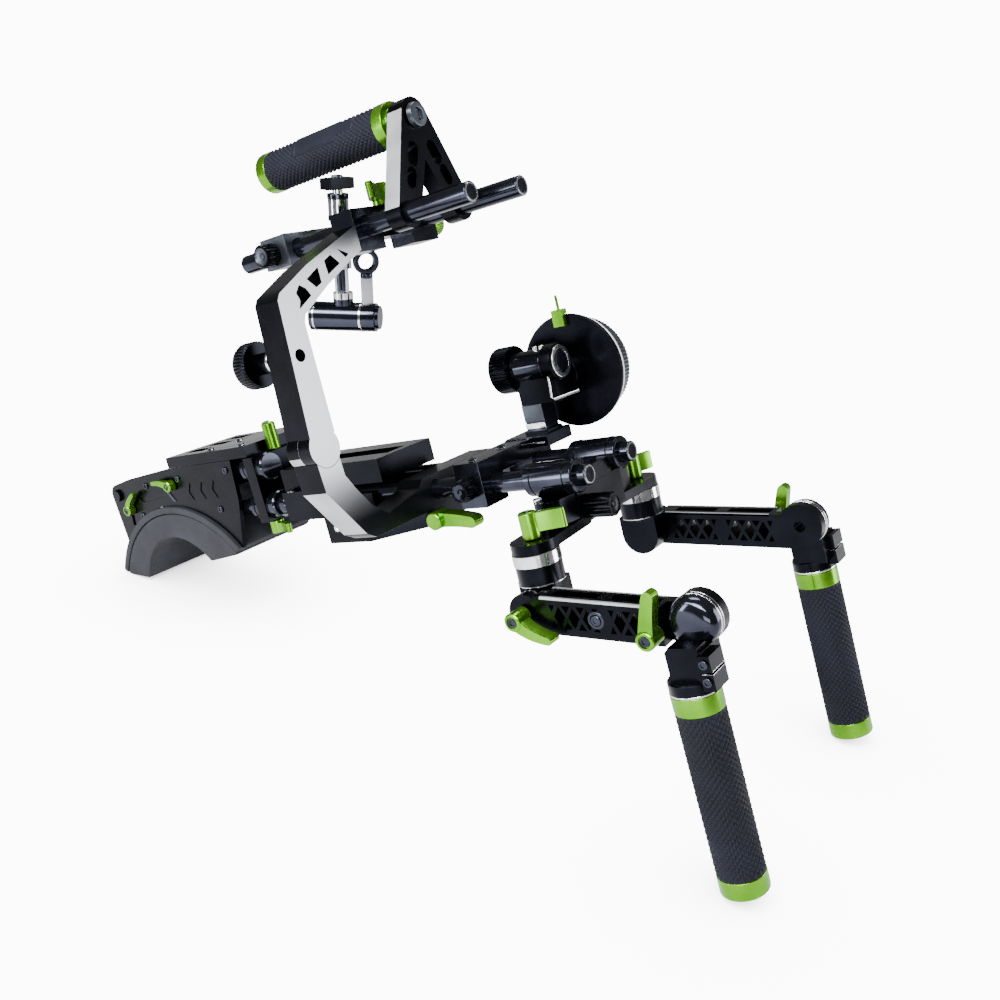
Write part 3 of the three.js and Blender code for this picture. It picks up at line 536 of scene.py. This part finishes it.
def lever(node, bend=1.0, wing=(0.22, 0.92), root=5.0, tip=2.2, cover=1.0):
    """A cam lever: a turned hub with a socket screw, and a curved wing that tapers to a round tip.

    The wing's band of heights is a share of the hub's, and cover is its share of the reach.
    """
    place = lever_frame(f"{node}_turn", node)
    low, high = measure(node, place)
    hub = -low.x
    length = high.x * cover
    height = high.z
    piece = Piece(place)
    piece.lathe(
        [(hub - 0.8, 0), (hub, 0.8), (hub, height - 1), (hub - 1, height), (hub * 0.62, height),
         (hub * 0.62, height - 1.4), (0, height - 1.5)],
        GREEN,
    )
    piece.screw(spot("z", z=height - 1.6), hub * 0.55, 1.3)
    steps = 10
    upper, lower = [], []
    for i in range(steps + 1):
        share = i / steps
        along_wing = (length - tip) * share
        middle = bend * length * SWEEP * share**2
        half = root + (tip - root) * share**0.7
        slope = math.atan(bend * LEAN * share)
        upper.append((along_wing - half * math.sin(slope), middle + half * math.cos(slope)))
        lower.append((along_wing + half * math.sin(slope), middle - half * math.cos(slope)))
    end_slope = math.atan(bend * LEAN)
    end = (length - tip, bend * length * SWEEP)
    cap = [math.pi / 2 - math.pi * k / 6 + end_slope for k in range(1, 6)]
    nose = [(end[0] + tip * math.cos(a), end[1] + tip * math.sin(a)) for a in cap]
    piece.prism(upper + nose + lower[::-1], height * wing[0], height * wing[1], GREEN)
    piece.done(f"{node}_cam", node_body[node], 0.5, [node])
    remade.add(node)


SWIVEL_COVER = {"right": 0.74, "left": 0.5}
lever("shoulder_clamp_lever", -1, (0.52, 1.0), root=4)
lever("shoulder_lower_lever", 1, tip=2.4)
lever("pad_lever_front", 1, root=4, tip=2)
lever("pad_lever_rear", -1, root=4, tip=2)
lever("handle_lever", 1, (0.24, 0.94), tip=2.6)
lever("base_lever", 0.3, root=6, tip=4.5)
for word, side in SIDES:
    lever(f"swivel_lever_{word}", 0.8 * side, cover=SWIVEL_COVER[word])
    lever(f"arm_lever_{word}", -1.2 * side, root=5.5, tip=2.6)
    lever(f"elbow_lever_{word}", 0.2 * side, (0.34, 0.9), 5.5, 4)


# ---- Knobs ----
DISH = 0.75  # a knob's dished face against its rim


def knob(node, ribs, depth, face, head_share=1.0):
    """A turned knob with a fluted rim and a dished face. Its head takes a share of its height."""
    place = along(f"{node}_turn")
    low, high = measure(node, place)
    radius = (high.x - low.x) / 2
    height = high.z
    start = height * (1 - head_share)
    piece = Piece(place)
    piece.lathe(
        [(radius * 0.6, start), (radius - 1.2, start), (radius, start + 1.2, 1),
         (radius, height - 1.2, 1), (radius - 1.1, height), (radius * DISH, height)],
        FINISHES[node_slot[node]], ribs=ribs, depth=depth, ends=(True, False),
    )
    piece.lathe(
        [(radius * DISH, height), (radius * DISH - 0.8, height - 1), (radius * 0.3, height - 1.4),
         (radius * 0.25, height - 0.6), (0, height - 0.4)],
        face, ends=(False, False),
    )
    if low.z < -1 or head_share < 1:
        shank = radius * 0.45
        piece.rod(min(low.z, 0) if low.z > -5 else 0, start + 1, shank, BLACK)
        piece.ring(1.5, 3.5, shank - 0.5, shank + 0.7, CHROME)
    piece.done(f"{node}_turned", node_body[node], 0, [node])
    remade.add(node)


knob("c_arm_knob", 44, 0.8, GREY, head_share=0.42)
knob("top_clamp_knob", 28, 0.6, GREEN)
knob("accessory_knob", 20, 0.7, GREY)
knob("focus_clamp_knob", 24, 0.6, GLOSS)
knob("handlebar_knob", 12, 1.1, BLACK)

# The follow focus wheel: an engraving ring behind a fluted grey rim, with a dark dished face.
WHEEL = along("focus_handwheel_turn")
low, high = measure("focus_handwheel", WHEEL)
wheel = Piece(WHEEL)
wheel_radius = (high.x - low.x) / 2
wheel.rod(0, 3, wheel_radius, WHITE, edge=0.4, sides=96)
wheel.lathe(
    [(30, 3), (wheel_radius - 3.4, 3), (wheel_radius - 3, 4), (wheel_radius - 3.2, 5)], BLACK, sides=96
)
wheel.lathe(
    [(30, 4.8), (wheel_radius - 4.2, 4.8), (wheel_radius - 3.6, 5.6, 1),
     (wheel_radius - 5, high.z - 1.5, 1), (wheel_radius - 6, high.z - 0.4),
     (wheel_radius - 9, high.z - 0.4)],
    GREY, ribs=80, depth=0.6, ends=(True, False),
)
wheel.lathe(
    [(wheel_radius - 9, high.z - 0.4), (wheel_radius - 10, high.z - 3), (12, high.z - 4),
     (11, high.z - 1), (7, high.z - 1), (6, high.z - 3), (0, high.z - 3)],
    BLACK, sides=96, ends=(False, False),
)
wheel.rod(low.z, 1, 4, CHROME)
wheel.done("focus_handwheel_turned", "focus_handwheel_body", 0, ["focus_handwheel"])
remade.add("focus_handwheel")

# The driven gear: square-cut teeth round a dished, polished face.
GEAR = along("focus_gear_turn")
low, high = measure("focus_gear", GEAR)
gear = Piece(GEAR)
gear_radius = high.x
gear.lathe(
    [(9, 0), (gear_radius - 1, 0), (gear_radius, 0.8, 1), (gear_radius, high.z - 0.8, 1),
     (gear_radius - 1, high.z), (gear_radius - 3.5, high.z)],
    BLACK, ribs=42, depth=1.5, ends=(True, False),
)
gear.lathe(
    [(gear_radius - 3.5, high.z), (gear_radius - 4.5, high.z - 3), (6, high.z - 3.4), (5, high.z - 1),
     (0, high.z - 1)],
    GLOSS, ends=(False, False),
)
gear.rod(low.z, 1, 4, CHROME)
gear.done("focus_gear_cut", "focus_gear_body", 0, ["focus_gear"])
remade.add("focus_gear")

# ---- Follow focus gearbox ----
low, high = measure("focus_gearbox", RIG)
gear_line = {"y": 34, "z": 73}
box = Piece(RIG)
box.box((low.x, high.x - 5), (27, 57), (low.z, 70), BLACK)
box.box((low.x + 4, high.x - 8), (30, 54), (69, 82), BLACK)
box.rod(low.x, high.x - 13, 12, GLOSS, spot("x", **gear_line))
box.rod(high.x - 13, high.x - 1, 14, BLACK, spot("x", **gear_line), 1.5)
box.ring(high.x - 2, high.x - 0.4, 9, 12.2, CHROME, spot("x", **gear_line))
box.rod(high.x - 2, high.x, 9, GLOSS, spot("x", **gear_line), 1.5)
box.rod(50, 61.8, 12, BLACK, spot("y", x=-57, z=61))
for back in (14, 20):
    box.screw(spot("z", x=high.x - back, y=32, z=84), 2.2, 3.2, CHROME)
# Painted highlight: a thin polished wire drawn where the focus bracket's edges flash, down and then back towards
# the gearbox.
box.wire([(-53, 24, 66), (-54, 23, 49), (-51.5, 23, 47), (-33, 30, 50)], 1.1, CHROME)
box.done("focus_gearbox_housing", "focus", 0.4, ["focus_gearbox"])
remade.add("focus_gearbox")

# The post's bare faces and the clamp's edge under the gearbox.
post = Piece(RIG)
post.box((-89.2, -71), (30.6, 31.4), (31, 44), GREY)
post.box((-89.4, -71), (30.4, 31.4), (25.5, 29.5), CHROME)
post.box((-91, -69), (30, 50), (20.5, 23.5), BLACK)
post.box((-106.5, -65.5), (21.6, 24), (13, 20), BLACK)
post.wire([(-104, 21, 16), (-68, 21, 16)], 0.7, CHROME)
post.done("focus_post_trim", "focus", 0.3)

# ---- Grip elbows ----
ELBOW_HEAD = [
    (16.5, 16.3), (16.5, 22.5), (16.1, 24.8), (14.9, 27), (12.6, 28.8), (9, 30), (4.5, 30.3), (0, 30.3),
]  # the dome's radius at each distance outward
GRIP_LINE = (-5.4, 31.3)  # the grip's line, forward and outward of the elbow's axis
NECK_END = -39.7
LUG_FACE = 43
OUTWARD = {side: Matrix.Scale(side, 4, (0, 0, 1)) for _, side in SIDES}


def outward(side, near, far):
    """A stretch across the rig, on one side of it."""
    return sorted((side * near, side * far))


def elbow(word, side):
    """The domed joint head over the split block that holds the grip."""
    piece = Piece(at_joint(f"elbow_{word}_turn", -GRIP_TILT))
    across = [(radius, side * reach) for radius, reach in ELBOW_HEAD]
    piece.lathe(across, GLOSS, spot("y"), 64)
    piece.ring(*outward(side, 19, 20.2), 14, 16.75, CHROME, spot("y"))
    piece.ring(*outward(side, 16.3, 17.3), 14, 16.65, CHROME, spot("y"))
    piece.box((-14.5, 10.5), outward(side, 17, 41), (-32, -12), BLACK)
    piece.box((-12, 8), outward(side, 27, 41.3), (-13, -9.5), BLACK)
    grip_line = spot("z", GRIP_LINE[0], side * GRIP_LINE[1])
    piece.rod(NECK_END, NECK_END + 8.7, 15.7, BLACK, grip_line, 1)
    piece.ring(NECK_END, NECK_END + 1.3, 14, 16, CHROME, grip_line)
    lug = outward(side, 25.5, LUG_FACE)
    piece.box((7, 15.4), lug, (-36, -25.6), BLACK)
    piece.box((7, 15.4), lug, (-24, -14), BLACK)
    for height in (-25.3, -23.4):
        piece.box((8, 15.6), outward(side, 26, LUG_FACE - 0.4), (height - 0.3, height), CHROME)
    for height in (-30, -19):
        piece.screw(spot("y", 11, side * LUG_FACE, height) @ OUTWARD[side], 3, 1.4)
    piece.done(f"elbow_{word}_head", f"elbow_{word}_body", 0.7, [f"elbow_{word}"])
    remade.add(f"elbow_{word}")


for word, side in SIDES:
    elbow(word, side)

# ---- Arms and swivels ----
ARM_TILT = 4.6  # degrees that the arms drop ahead
ARM_OUTER = 26.3  # outer face of an arm, from the swivel's axis
ARM_INNER = 10
ARM_GROUPS = (27, 72)  # where each group of diamonds starts
DIAMOND_PITCH = 11
ARM_BOLT = 54.5


def arm_windows(word, side):
    """The small triangles between an arm's diamonds."""
    tool = Piece(at_joint(f"arm_{word}_turn", ARM_TILT))
    reach = outward(side, ARM_INNER - 3, ARM_OUTER + 1)
    for start in ARM_GROUPS:
        for i in range(-1, 3):
            middle = start + DIAMOND_PITCH * (i + 0.5)
            half = 3.2 if 0 <= i < 2 else 2.2
            for flip in (-1, 1):
                corners = [(middle - half, flip * 8), (middle + half, flip * 8), (middle, flip * 3)]
                tool.prism(corners, *reach, GLOSS, spot("y"))
    return tool


def arm(word, side):
    """An arm with its windows, the bare edges of its upper corners and its middle bolt."""
    dressed(f"arm_{word}", 0.3, BLACK, cutters=[arm_windows(word, side)])
    trim = Piece(at_joint(f"arm_{word}_turn", ARM_TILT))
    for face in (ARM_OUTER, ARM_INNER):
        trim.box((13, 99), outward(side, face - 1.7, face + 0.1), (11.4, 13.1), SATIN)
    bolt_ring = outward(side, ARM_OUTER - 0.2, ARM_OUTER + 0.25)
    trim.ring(*bolt_ring, 4.2, 6, GLOSS, spot("y", ARM_BOLT))
    trim.screw(spot("y", ARM_BOLT, side * (ARM_OUTER - 0.1)) @ OUTWARD[side], 3.6, 1)
    trim.done(f"arm_{word}_trim", f"arm_{word}_body", 0.35)
    remade.add(f"arm_{word}")


def swivel(word):
    """The bright bands round a swivel drum."""
    piece = Piece(at_joint(f"swivel_{word}_turn"))
    piece.ring(-47.5, -38.4, 14, 16.9, CHROME, edge=0.6)
    piece.ring(-61, -59.6, 14, 16.8, CHROME, edge=0.5)
    piece.done(f"swivel_{word}_bands", f"swivel_{word}", 0)


for word, side in SIDES:
    arm(word, side)
    swivel(word)

# ---- Shoulder pad ----
PAD_CENTRE = (-475, -109)
PAD_OUTER = 120
PAD_SKIN = 7  # the harder rim over the pad's body
PAD_HEEL = (-573, -54)
PAD_TOE = (-387, -39)
ARCH_CENTRE = (-480, -83)
ARCH_RADIUS = 63
PAD_HALF_WIDTH = 47


def arc(centre, radius, start, end, steps=40):
    """Points round an arc from one point's direction to another's."""
    angles = [math.atan2(p[1] - centre[1], p[0] - centre[0]) for p in (start, end)]
    turns = [angles[0] + (angles[1] - angles[0]) * i / steps for i in range(steps + 1)]
    return [(centre[0] + radius * math.cos(a), centre[1] + radius * math.sin(a)) for a in turns]


pad = Piece(RIG)
arch = arc(ARCH_CENTRE, ARCH_RADIUS, (-540, -60), (-427, -44))
body_line = arc(PAD_CENTRE, PAD_OUTER - PAD_SKIN - 0.3, PAD_TOE, PAD_HEEL)
body_half = PAD_HALF_WIDTH - 0.5
pad.prism([*body_line, (-569, -56), *arch, (-390, -41)], -body_half, body_half, FOAM, spot("y"))
rim = arc(PAD_CENTRE, PAD_OUTER, PAD_TOE, PAD_HEEL)
rim += arc(PAD_CENTRE, PAD_OUTER - PAD_SKIN, PAD_HEEL, PAD_TOE)
pad.prism(rim, -PAD_HALF_WIDTH, PAD_HALF_WIDTH, FOAM, spot("y"))
pad_piece = pad.done("shoulder_pad_foam", "shoulder", 1.8, ["shoulder_pad"])
remade.add("shoulder_pad")


# ---- Shoulder plates ----
PLATE_FACE = 43  # outer face of a plate, from the rig's middle
SLOT_CENTRE = (-430, -20)
SLOT_RADII = (108.5, 113)
SLOT_TOP = (-538, 16)
SLOT_FOOT = (-545, -4)
PLATE_SCREWS = ((-395, 3), (-446, 36), (-372, 38), (-500, 33), (-520, 4))
PLATE_FLASH = [(-476, 34), (-472, 34), (-458, 15), (-462, 15)]


def plate_slot():
    """The curved adjusting slot near a plate's rear edge."""
    tool = Piece(RIG)
    outline = arc(SLOT_CENTRE, SLOT_RADII[1], SLOT_TOP, SLOT_FOOT, 12)
    outline += arc(SLOT_CENTRE, SLOT_RADII[0], SLOT_FOOT, SLOT_TOP, 12)
    tool.prism(outline, -PLATE_FACE - 3, PLATE_FACE + 3, GLOSS, spot("y"))
    return tool


for word, side in SIDES:
    node = f"shoulder_plate_{word}"
    dressed(node, 0.3, cutters=[plate_slot()])
    remade.add(node)
    trim = Piece(RIG)
    backing = outward(side, PLATE_FACE - 3.6, PLATE_FACE - 0.8)
    trim.prism([(-521, 15), (-477, 18), (-477, 31), (-521, 31)], *backing, BLACK, spot("y"))
    trim.prism([(-436, 12), (-388, 12), (-388, 32), (-436, 32)], *backing, BLACK, spot("y"))
    for x, z in PLATE_SCREWS:
        trim.screw(spot("y", x, side * PLATE_FACE, z) @ OUTWARD[side], 3.2, 1.4)
    trim.prism(PLATE_FLASH, *outward(side, PLATE_FACE, PLATE_FACE + 0.8), GLOSS, spot("y"))
    trim.done(f"shoulder_plate_{word}_trim", "shoulder", 0.2)

# ---- C-arm ----
MILLED = facing((1, 0, 0))
UNDERCUT = facing((0, -0.8, -0.6), 0.93)


def painted_reflection_fade(name, pale_point, black_point):
    """Milled aluminium with a painted reflection: pale at one height, darkening into painted shade, near black, at
    another.
    """
    material, tree, shader, place = new_material(name)
    height = add(tree, "ShaderNodeSeparateXYZ", links={"Vector": place}).outputs["Z"]
    ends = [(RIG @ (Vector(point) * MM)).z for point in (black_point, pale_point)]
    settings = {"From Min": ends[0], "From Max": ends[1]}
    share = add(tree, "ShaderNodeMapRange", settings, {"Value": height}).outputs["Result"]
    colour = mixed_colours(tree, share, "#0c0e14", "#93959a", 0.05, 0.95)
    tree.links.new(colour, shader.inputs["Base Color"])
    shader.inputs["Metallic"].default_value = 0.75
    shader.inputs["Roughness"].default_value = 0.32
    return material


# Milled aluminium with a painted reflection: pale near the pivot, darkening into painted shade, near black, at the
# lower rods.
PAINTED_FADE = painted_reflection_fade("milled_aluminium_painted_reflection_to_black", (-140, -130, 48), (-140, -100, 0))
# The same painted reflection on the upper arm: pale up to its windows, darkening into painted shade, near black,
# where the top rods' clamp holds it.
PAINTED_FADE_TOP = painted_reflection_fade("milled_aluminium_painted_reflection_to_black_above", (-140, -64, 182), (-140, -30, 207))
dressed("upper_c_arm", 0, BLACK, [(PAINTED_FADE_TOP, MILLED)])
dressed("lower_c_arm", 0.6, BLACK, [(PAINTED_FADE, MILLED), (SATIN, UNDERCUT)])
remade.update(("upper_c_arm", "lower_c_arm"))

# ---- Top handle bracket, plumb post and drop head ----
dressed("handle_bolt", 0.5, GREY)
BRACKET_FLANK = facing((0, -0.91, 0.41), 0.93, 250)
dressed("handle_bracket", 0.4, BLACK, [(SATIN, BRACKET_FLANK)])
remade.update(("handle_bracket", "handle_bolt"))
PITCH = math.degrees(math.asin(-FORWARD.normalized().z))  # nose up is below nought
PLUMB = at_joint("drop_post_swing", -PITCH)
trim = Piece(PLUMB)
trim.box((-6, 6), (-13, 13), (36.5, 45), BLACK)
trim.rod(44, 47, 4.5, GREY)
trim.rod(12.6, 17, 8.4, GLOSS)
trim.rod(29, 33.4, 8.4, GLOSS)
trim.rod(-42, -18, 5.2, GLOSS)
trim.done("drop_post_trim", "drop_arm", 0.4)
BARREL_TURN = 28  # degrees that the barrel points outward of straight ahead
PAN = at_joint("drop_head_pan", -PITCH) @ Matrix.Rotation(math.radians(BARREL_TURN), 4, "Z")
barrel_line = spot("x", z=-14.5)
trim = Piece(PAN)
trim.ring(14, 16, 9, 11.9, CHROME, barrel_line)
trim.ring(-24, -22.5, 9, 11.8, CHROME, barrel_line)
trim.rod(26.6, 30, 7, GREY, barrel_line)
trim.done("drop_barrel_trim", "drop_head", 0)
RING_TURN = Matrix.Rotation(math.radians(-62), 4, "Z")  # the ring looks ahead and to the right
hook = Piece(PAN @ Matrix.Translation(Vector((20, 0, 0)) * MM) @ RING_TURN)
hook.box((-2.2, 2.2), (-4.6, 4.6), (-15, 21), SATIN)
hook.ring(-3, 3, 6.2, 10.4, GLOSS, spot("x", z=30), 0.8)
hook.rod(17, 21, 5, GLOSS)
hook.done("drop_ring_hook", "drop_head", 0.5, ["drop_ring_arm"])
dressed("drop_barrel", 0.4, GLOSS)
remade.update(("drop_ring_arm", "drop_barrel"))

# ---- Rod clamps ----
def strap(a, radius_a, b, radius_b, steps=12):
    """The outline round two circles."""
    heading = math.atan2(b[1] - a[1], b[0] - a[0])
    lean = math.acos((radius_a - radius_b) / math.dist(a, b))
    points = []
    wraps = ((a, radius_a, lean, 2 * math.pi - lean), (b, radius_b, -lean, lean))
    for (x, y), radius, start, end in wraps:
        turns = [heading + start + (end - start) * i / steps for i in range(steps + 1)]
        points += [(x + radius * math.cos(t), y + radius * math.sin(t)) for t in turns]
    return points


TUBE_RADIUS = 12.4
ROD_BORE = 7.8
CLAMP_END = (-30.5, 24, 16)  # where a strap of the handlebar clamp meets its middle, and its radius


clamp = Piece(RIG)
for _, side in SIDES:
    line = spot("x", y=side * ROD_SPREAD)
    clamp.ring(-50, -8, ROD_BORE, TUBE_RADIUS - 0.2, GLOSS, line, 1)
    for back in (-44, -16):
        clamp.ring(back, back + 1, 11, 12.6, BLACK, line)
    end = (CLAMP_END[0], side * CLAMP_END[1])
    clamp.prism(strap((-28.5, side * 71.7), 16.5, end, CLAMP_END[2]), -38, -31, BLACK)
    clamp.prism(strap((-28.5, side * 44), 11, end, CLAMP_END[2]), -34, -12, BLACK)
    clamp.screw(spot("z", -36, side * 46, -12), 4, 2, CHROME)
clamp.box((-44, -14), (-19, 19), (-11, 1), BLACK)
clamp.box((-48, -14), (-30, 30), (-36, -11), BLACK)
clamp.box((-38, -20), (-12, 12), (0, 3), GLOSS)
clamp.done("handlebar_clamp_tubes", "handlebar", 0.6, ["handlebar_clamp"])

clamp = Piece(RIG)
for _, side in SIDES:
    for height, front in ((0, -322), (UPPER_RODS, -324)):
        line = spot("x", y=side * ROD_SPREAD, z=height)
        clamp.rod(-354, front, TUBE_RADIUS, GLOSS, line, 1.2)
        clamp.ring(-349, -347.6, 11, 12.8, BLACK, line)
        clamp.ring(-331, -329.6, 11, 12.8, BLACK, line)
clamp.box((-344, -332), (-43, 43), (-13, 46), BLACK)
clamp.box((-354, -326), (-24, -8), (36, 46.4), BLACK)
clamp.done("shoulder_clamp_tubes", "shoulder", 0.6, ["shoulder_rod_clamp"])
remade.update(("handlebar_clamp", "shoulder_rod_clamp"))

# ---- Everything else keeps its machined shape ----
for node in sorted(set(frame["nodes"]) - remade):
    dressed(node, 0.2 if node == "focus_pointer" else 0.5)


# ---- Rod ends, collars and screws ----
PLUG = 5.4  # radius of a rod end's plug


def rod_ends(piece, x, height):
    """Plugs with dark sockets in the ends of a pair of rods."""
    for _, side in SIDES:
        piece.ring(x - 1, x + 0.3, PLUG, PLUG + 1.2, CHROME, spot("x", y=side * ROD_SPREAD, z=height))
        piece.screw(spot("x", x - 1, side * ROD_SPREAD, height), PLUG, 1.2)


trim = Piece(RIG)
rod_ends(trim, 0, 0)
for _, side in SIDES:
    line = spot("x", y=side * ROD_SPREAD)
    trim.ring(-318, -310, 7.4, 10, GLOSS, line, 1)
    trim.ring(-310, -309, 7.4, 9.2, CHROME, line)
for x, y in ((-222, -60), (-222, 36), (-160, 36), (-190, -30)):
    trim.screw(spot("z", x, y, -26.8) @ OUTWARD[-1], 3.5, 0.4)
for x in (-215, -198):
    trim.screw(spot("y", x, -72, -14) @ OUTWARD[-1], 3, 1.4, CHROME)
trim.done("base_fittings", "base", 0)

trim = Piece(RIG)
rod_ends(trim, -42, TOP_RODS)
trim.done("cage_fittings", "cage", 0)

SCREWS = {
    "shoulder": [(x, y, 57) for x in (-396, -352) for y in (-34, 0, 34)],
    "focus": [(-94, y, 20) for y in (-36, 0)],
    "camera_plate_body": [(x, y, 12) for x in (-296, -246) for y in (-40, 39)],
    "accessory": [(-230, y, 213.8) for y in (-30, 0, 30)],
}
for body, places in SCREWS.items():
    trim = Piece(RIG)
    for x, y, z in places:
        trim.screw(spot("z", x, y, z), 3.2, 1.6)
        trim.ring(z, z + 0.3, 3.2, 4.2, CHROME, spot("z", x, y))
    trim.done(f"{body}_screws", body, 0)

# ---- Studio ----
FLOOR_SIZE = 14.0
PAPER = 12.0  # how bright the white paper is to the eye
CONTACT = 0.11  # metres over which a resting part darkens the paper
CONTACT_GLOW = 0.25  # the paper's brightness right under a part
ROOM = 0.22  # how bright the room is to the metal


def studio_floor():
    """White paper that keeps only the soft shadows where the rig touches it."""
    shape = bmesh.new()
    bmesh.ops.create_grid(shape, x_segments=1, y_segments=1, size=FLOOR_SIZE / 2)
    data = bpy.data.meshes.new("studio_floor")
    shape.to_mesh(data)
    shape.free()
    floor = bpy.data.objects.new("studio_floor", data)
    bpy.context.scene.collection.objects.link(floor)
    floor.location.z = cad_box[0][2]
    material, tree, shader, place = new_material("white_studio_paper")
    shader.inputs["Base Color"].default_value = linear("#e9e9ec")
    shader.inputs["Roughness"].default_value = 0.9
    shade = add(
        tree, "ShaderNodeAmbientOcclusion", {"Distance": CONTACT}, samples=16
    ).outputs["AO"]
    glow = add(tree, "ShaderNodeEmission", {"Color": linear("#ffffff")})
    tree.links.new(spread(tree, shade, CONTACT_GLOW, PAPER), glow.inputs["Strength"])
    seen = add(tree, "ShaderNodeLightPath").outputs["Is Camera Ray"]
    mix = add(tree, "ShaderNodeMixShader", links={"Fac": seen})
    tree.links.new(shader.outputs["BSDF"], mix.inputs[1])
    tree.links.new(glow.outputs["Emission"], mix.inputs[2])
    out = next(node for node in tree.nodes if node.bl_idname == "ShaderNodeOutputMaterial")
    tree.links.new(mix.outputs["Shader"], out.inputs["Surface"])
    data.materials.append(material)


def area_light(name, place, target, size, power):
    """A softbox at a place that faces a target, with its size in metres and its power in watts."""
    light = bpy.data.lights.new(name, "AREA")
    light.shape = "RECTANGLE"
    light.size, light.size_y = size
    light.energy = power
    lamp = bpy.data.objects.new(name, light)
    lamp.location = place
    lamp.rotation_euler = (Vector(target) - Vector(place)).to_track_quat("-Z", "Y").to_euler()
    bpy.context.scene.collection.objects.link(lamp)


def studio_light():
    """A white room to the eye, and a dim one with a few bright softboxes to the metal."""
    world = bpy.data.worlds.new("white_room")
    world.use_nodes = True
    tree = world.node_tree
    tree.nodes.clear()
    seen = add(tree, "ShaderNodeLightPath").outputs["Is Camera Ray"]
    backdrop = add(tree, "ShaderNodeBackground", {"Color": linear("#ffffff")})
    tree.links.new(spread(tree, seen, ROOM, PAPER), backdrop.inputs["Strength"])
    add(tree, "ShaderNodeOutputWorld", links={"Surface": backdrop.outputs["Background"]})
    bpy.context.scene.world = world
    area_light("key_softbox", (0.2, -1.3, 1.5), (0, 0, 0.2), (1.0, 0.7), 42)
    area_light("front_softbox", (1.6, 1.1, 0.5), (0, 0, 0.2), (0.8, 1.2), 34)
    area_light("side_strip", (-1.0, -1.6, 0.5), (-0.1, 0, 0.2), (0.3, 1.2), 22)
    area_light("top_softbox", (-0.4, 0.5, 1.8), (0, 0, 0.2), (1.0, 0.6), 26)
    area_light("low_fill", (0.9, -1.2, 0.25), (0, 0, 0.2), (0.7, 0.25), 6)
    area_light("long_strip", (0.0, -1.1, 1.25), (0, 0, 0.25), (2.2, 0.2), 45)


LENS = 36.85  # millimetres, over a 36 mm sensor
EYE = (386.9, -599.4, 136.7)  # from the front ends of the lower rods
EYE_AXES = (  # the view's right, up and backward directions in the rig's layout
    (0.7793, 0.5802, -0.2367), (0.0635, 0.3026, 0.951), (0.6234, -0.7562, 0.199),
)


def camera():
    """The viewpoint: ahead of the right grip and above it, looking back along the rig."""
    lens = bpy.data.cameras.new("camera")
    lens.sensor_width = 36
    lens.lens = LENS
    view = bpy.data.objects.new("camera", lens)
    turn = RIG.to_3x3() @ Matrix(EYE_AXES).transposed()
    eye = RIG @ (Vector(EYE) * MM)
    view.matrix_world = Matrix.Translation(eye) @ turn.to_4x4()
    bpy.context.scene.collection.objects.link(view)
    bpy.context.scene.camera = view


studio_floor()
studio_light()
camera()
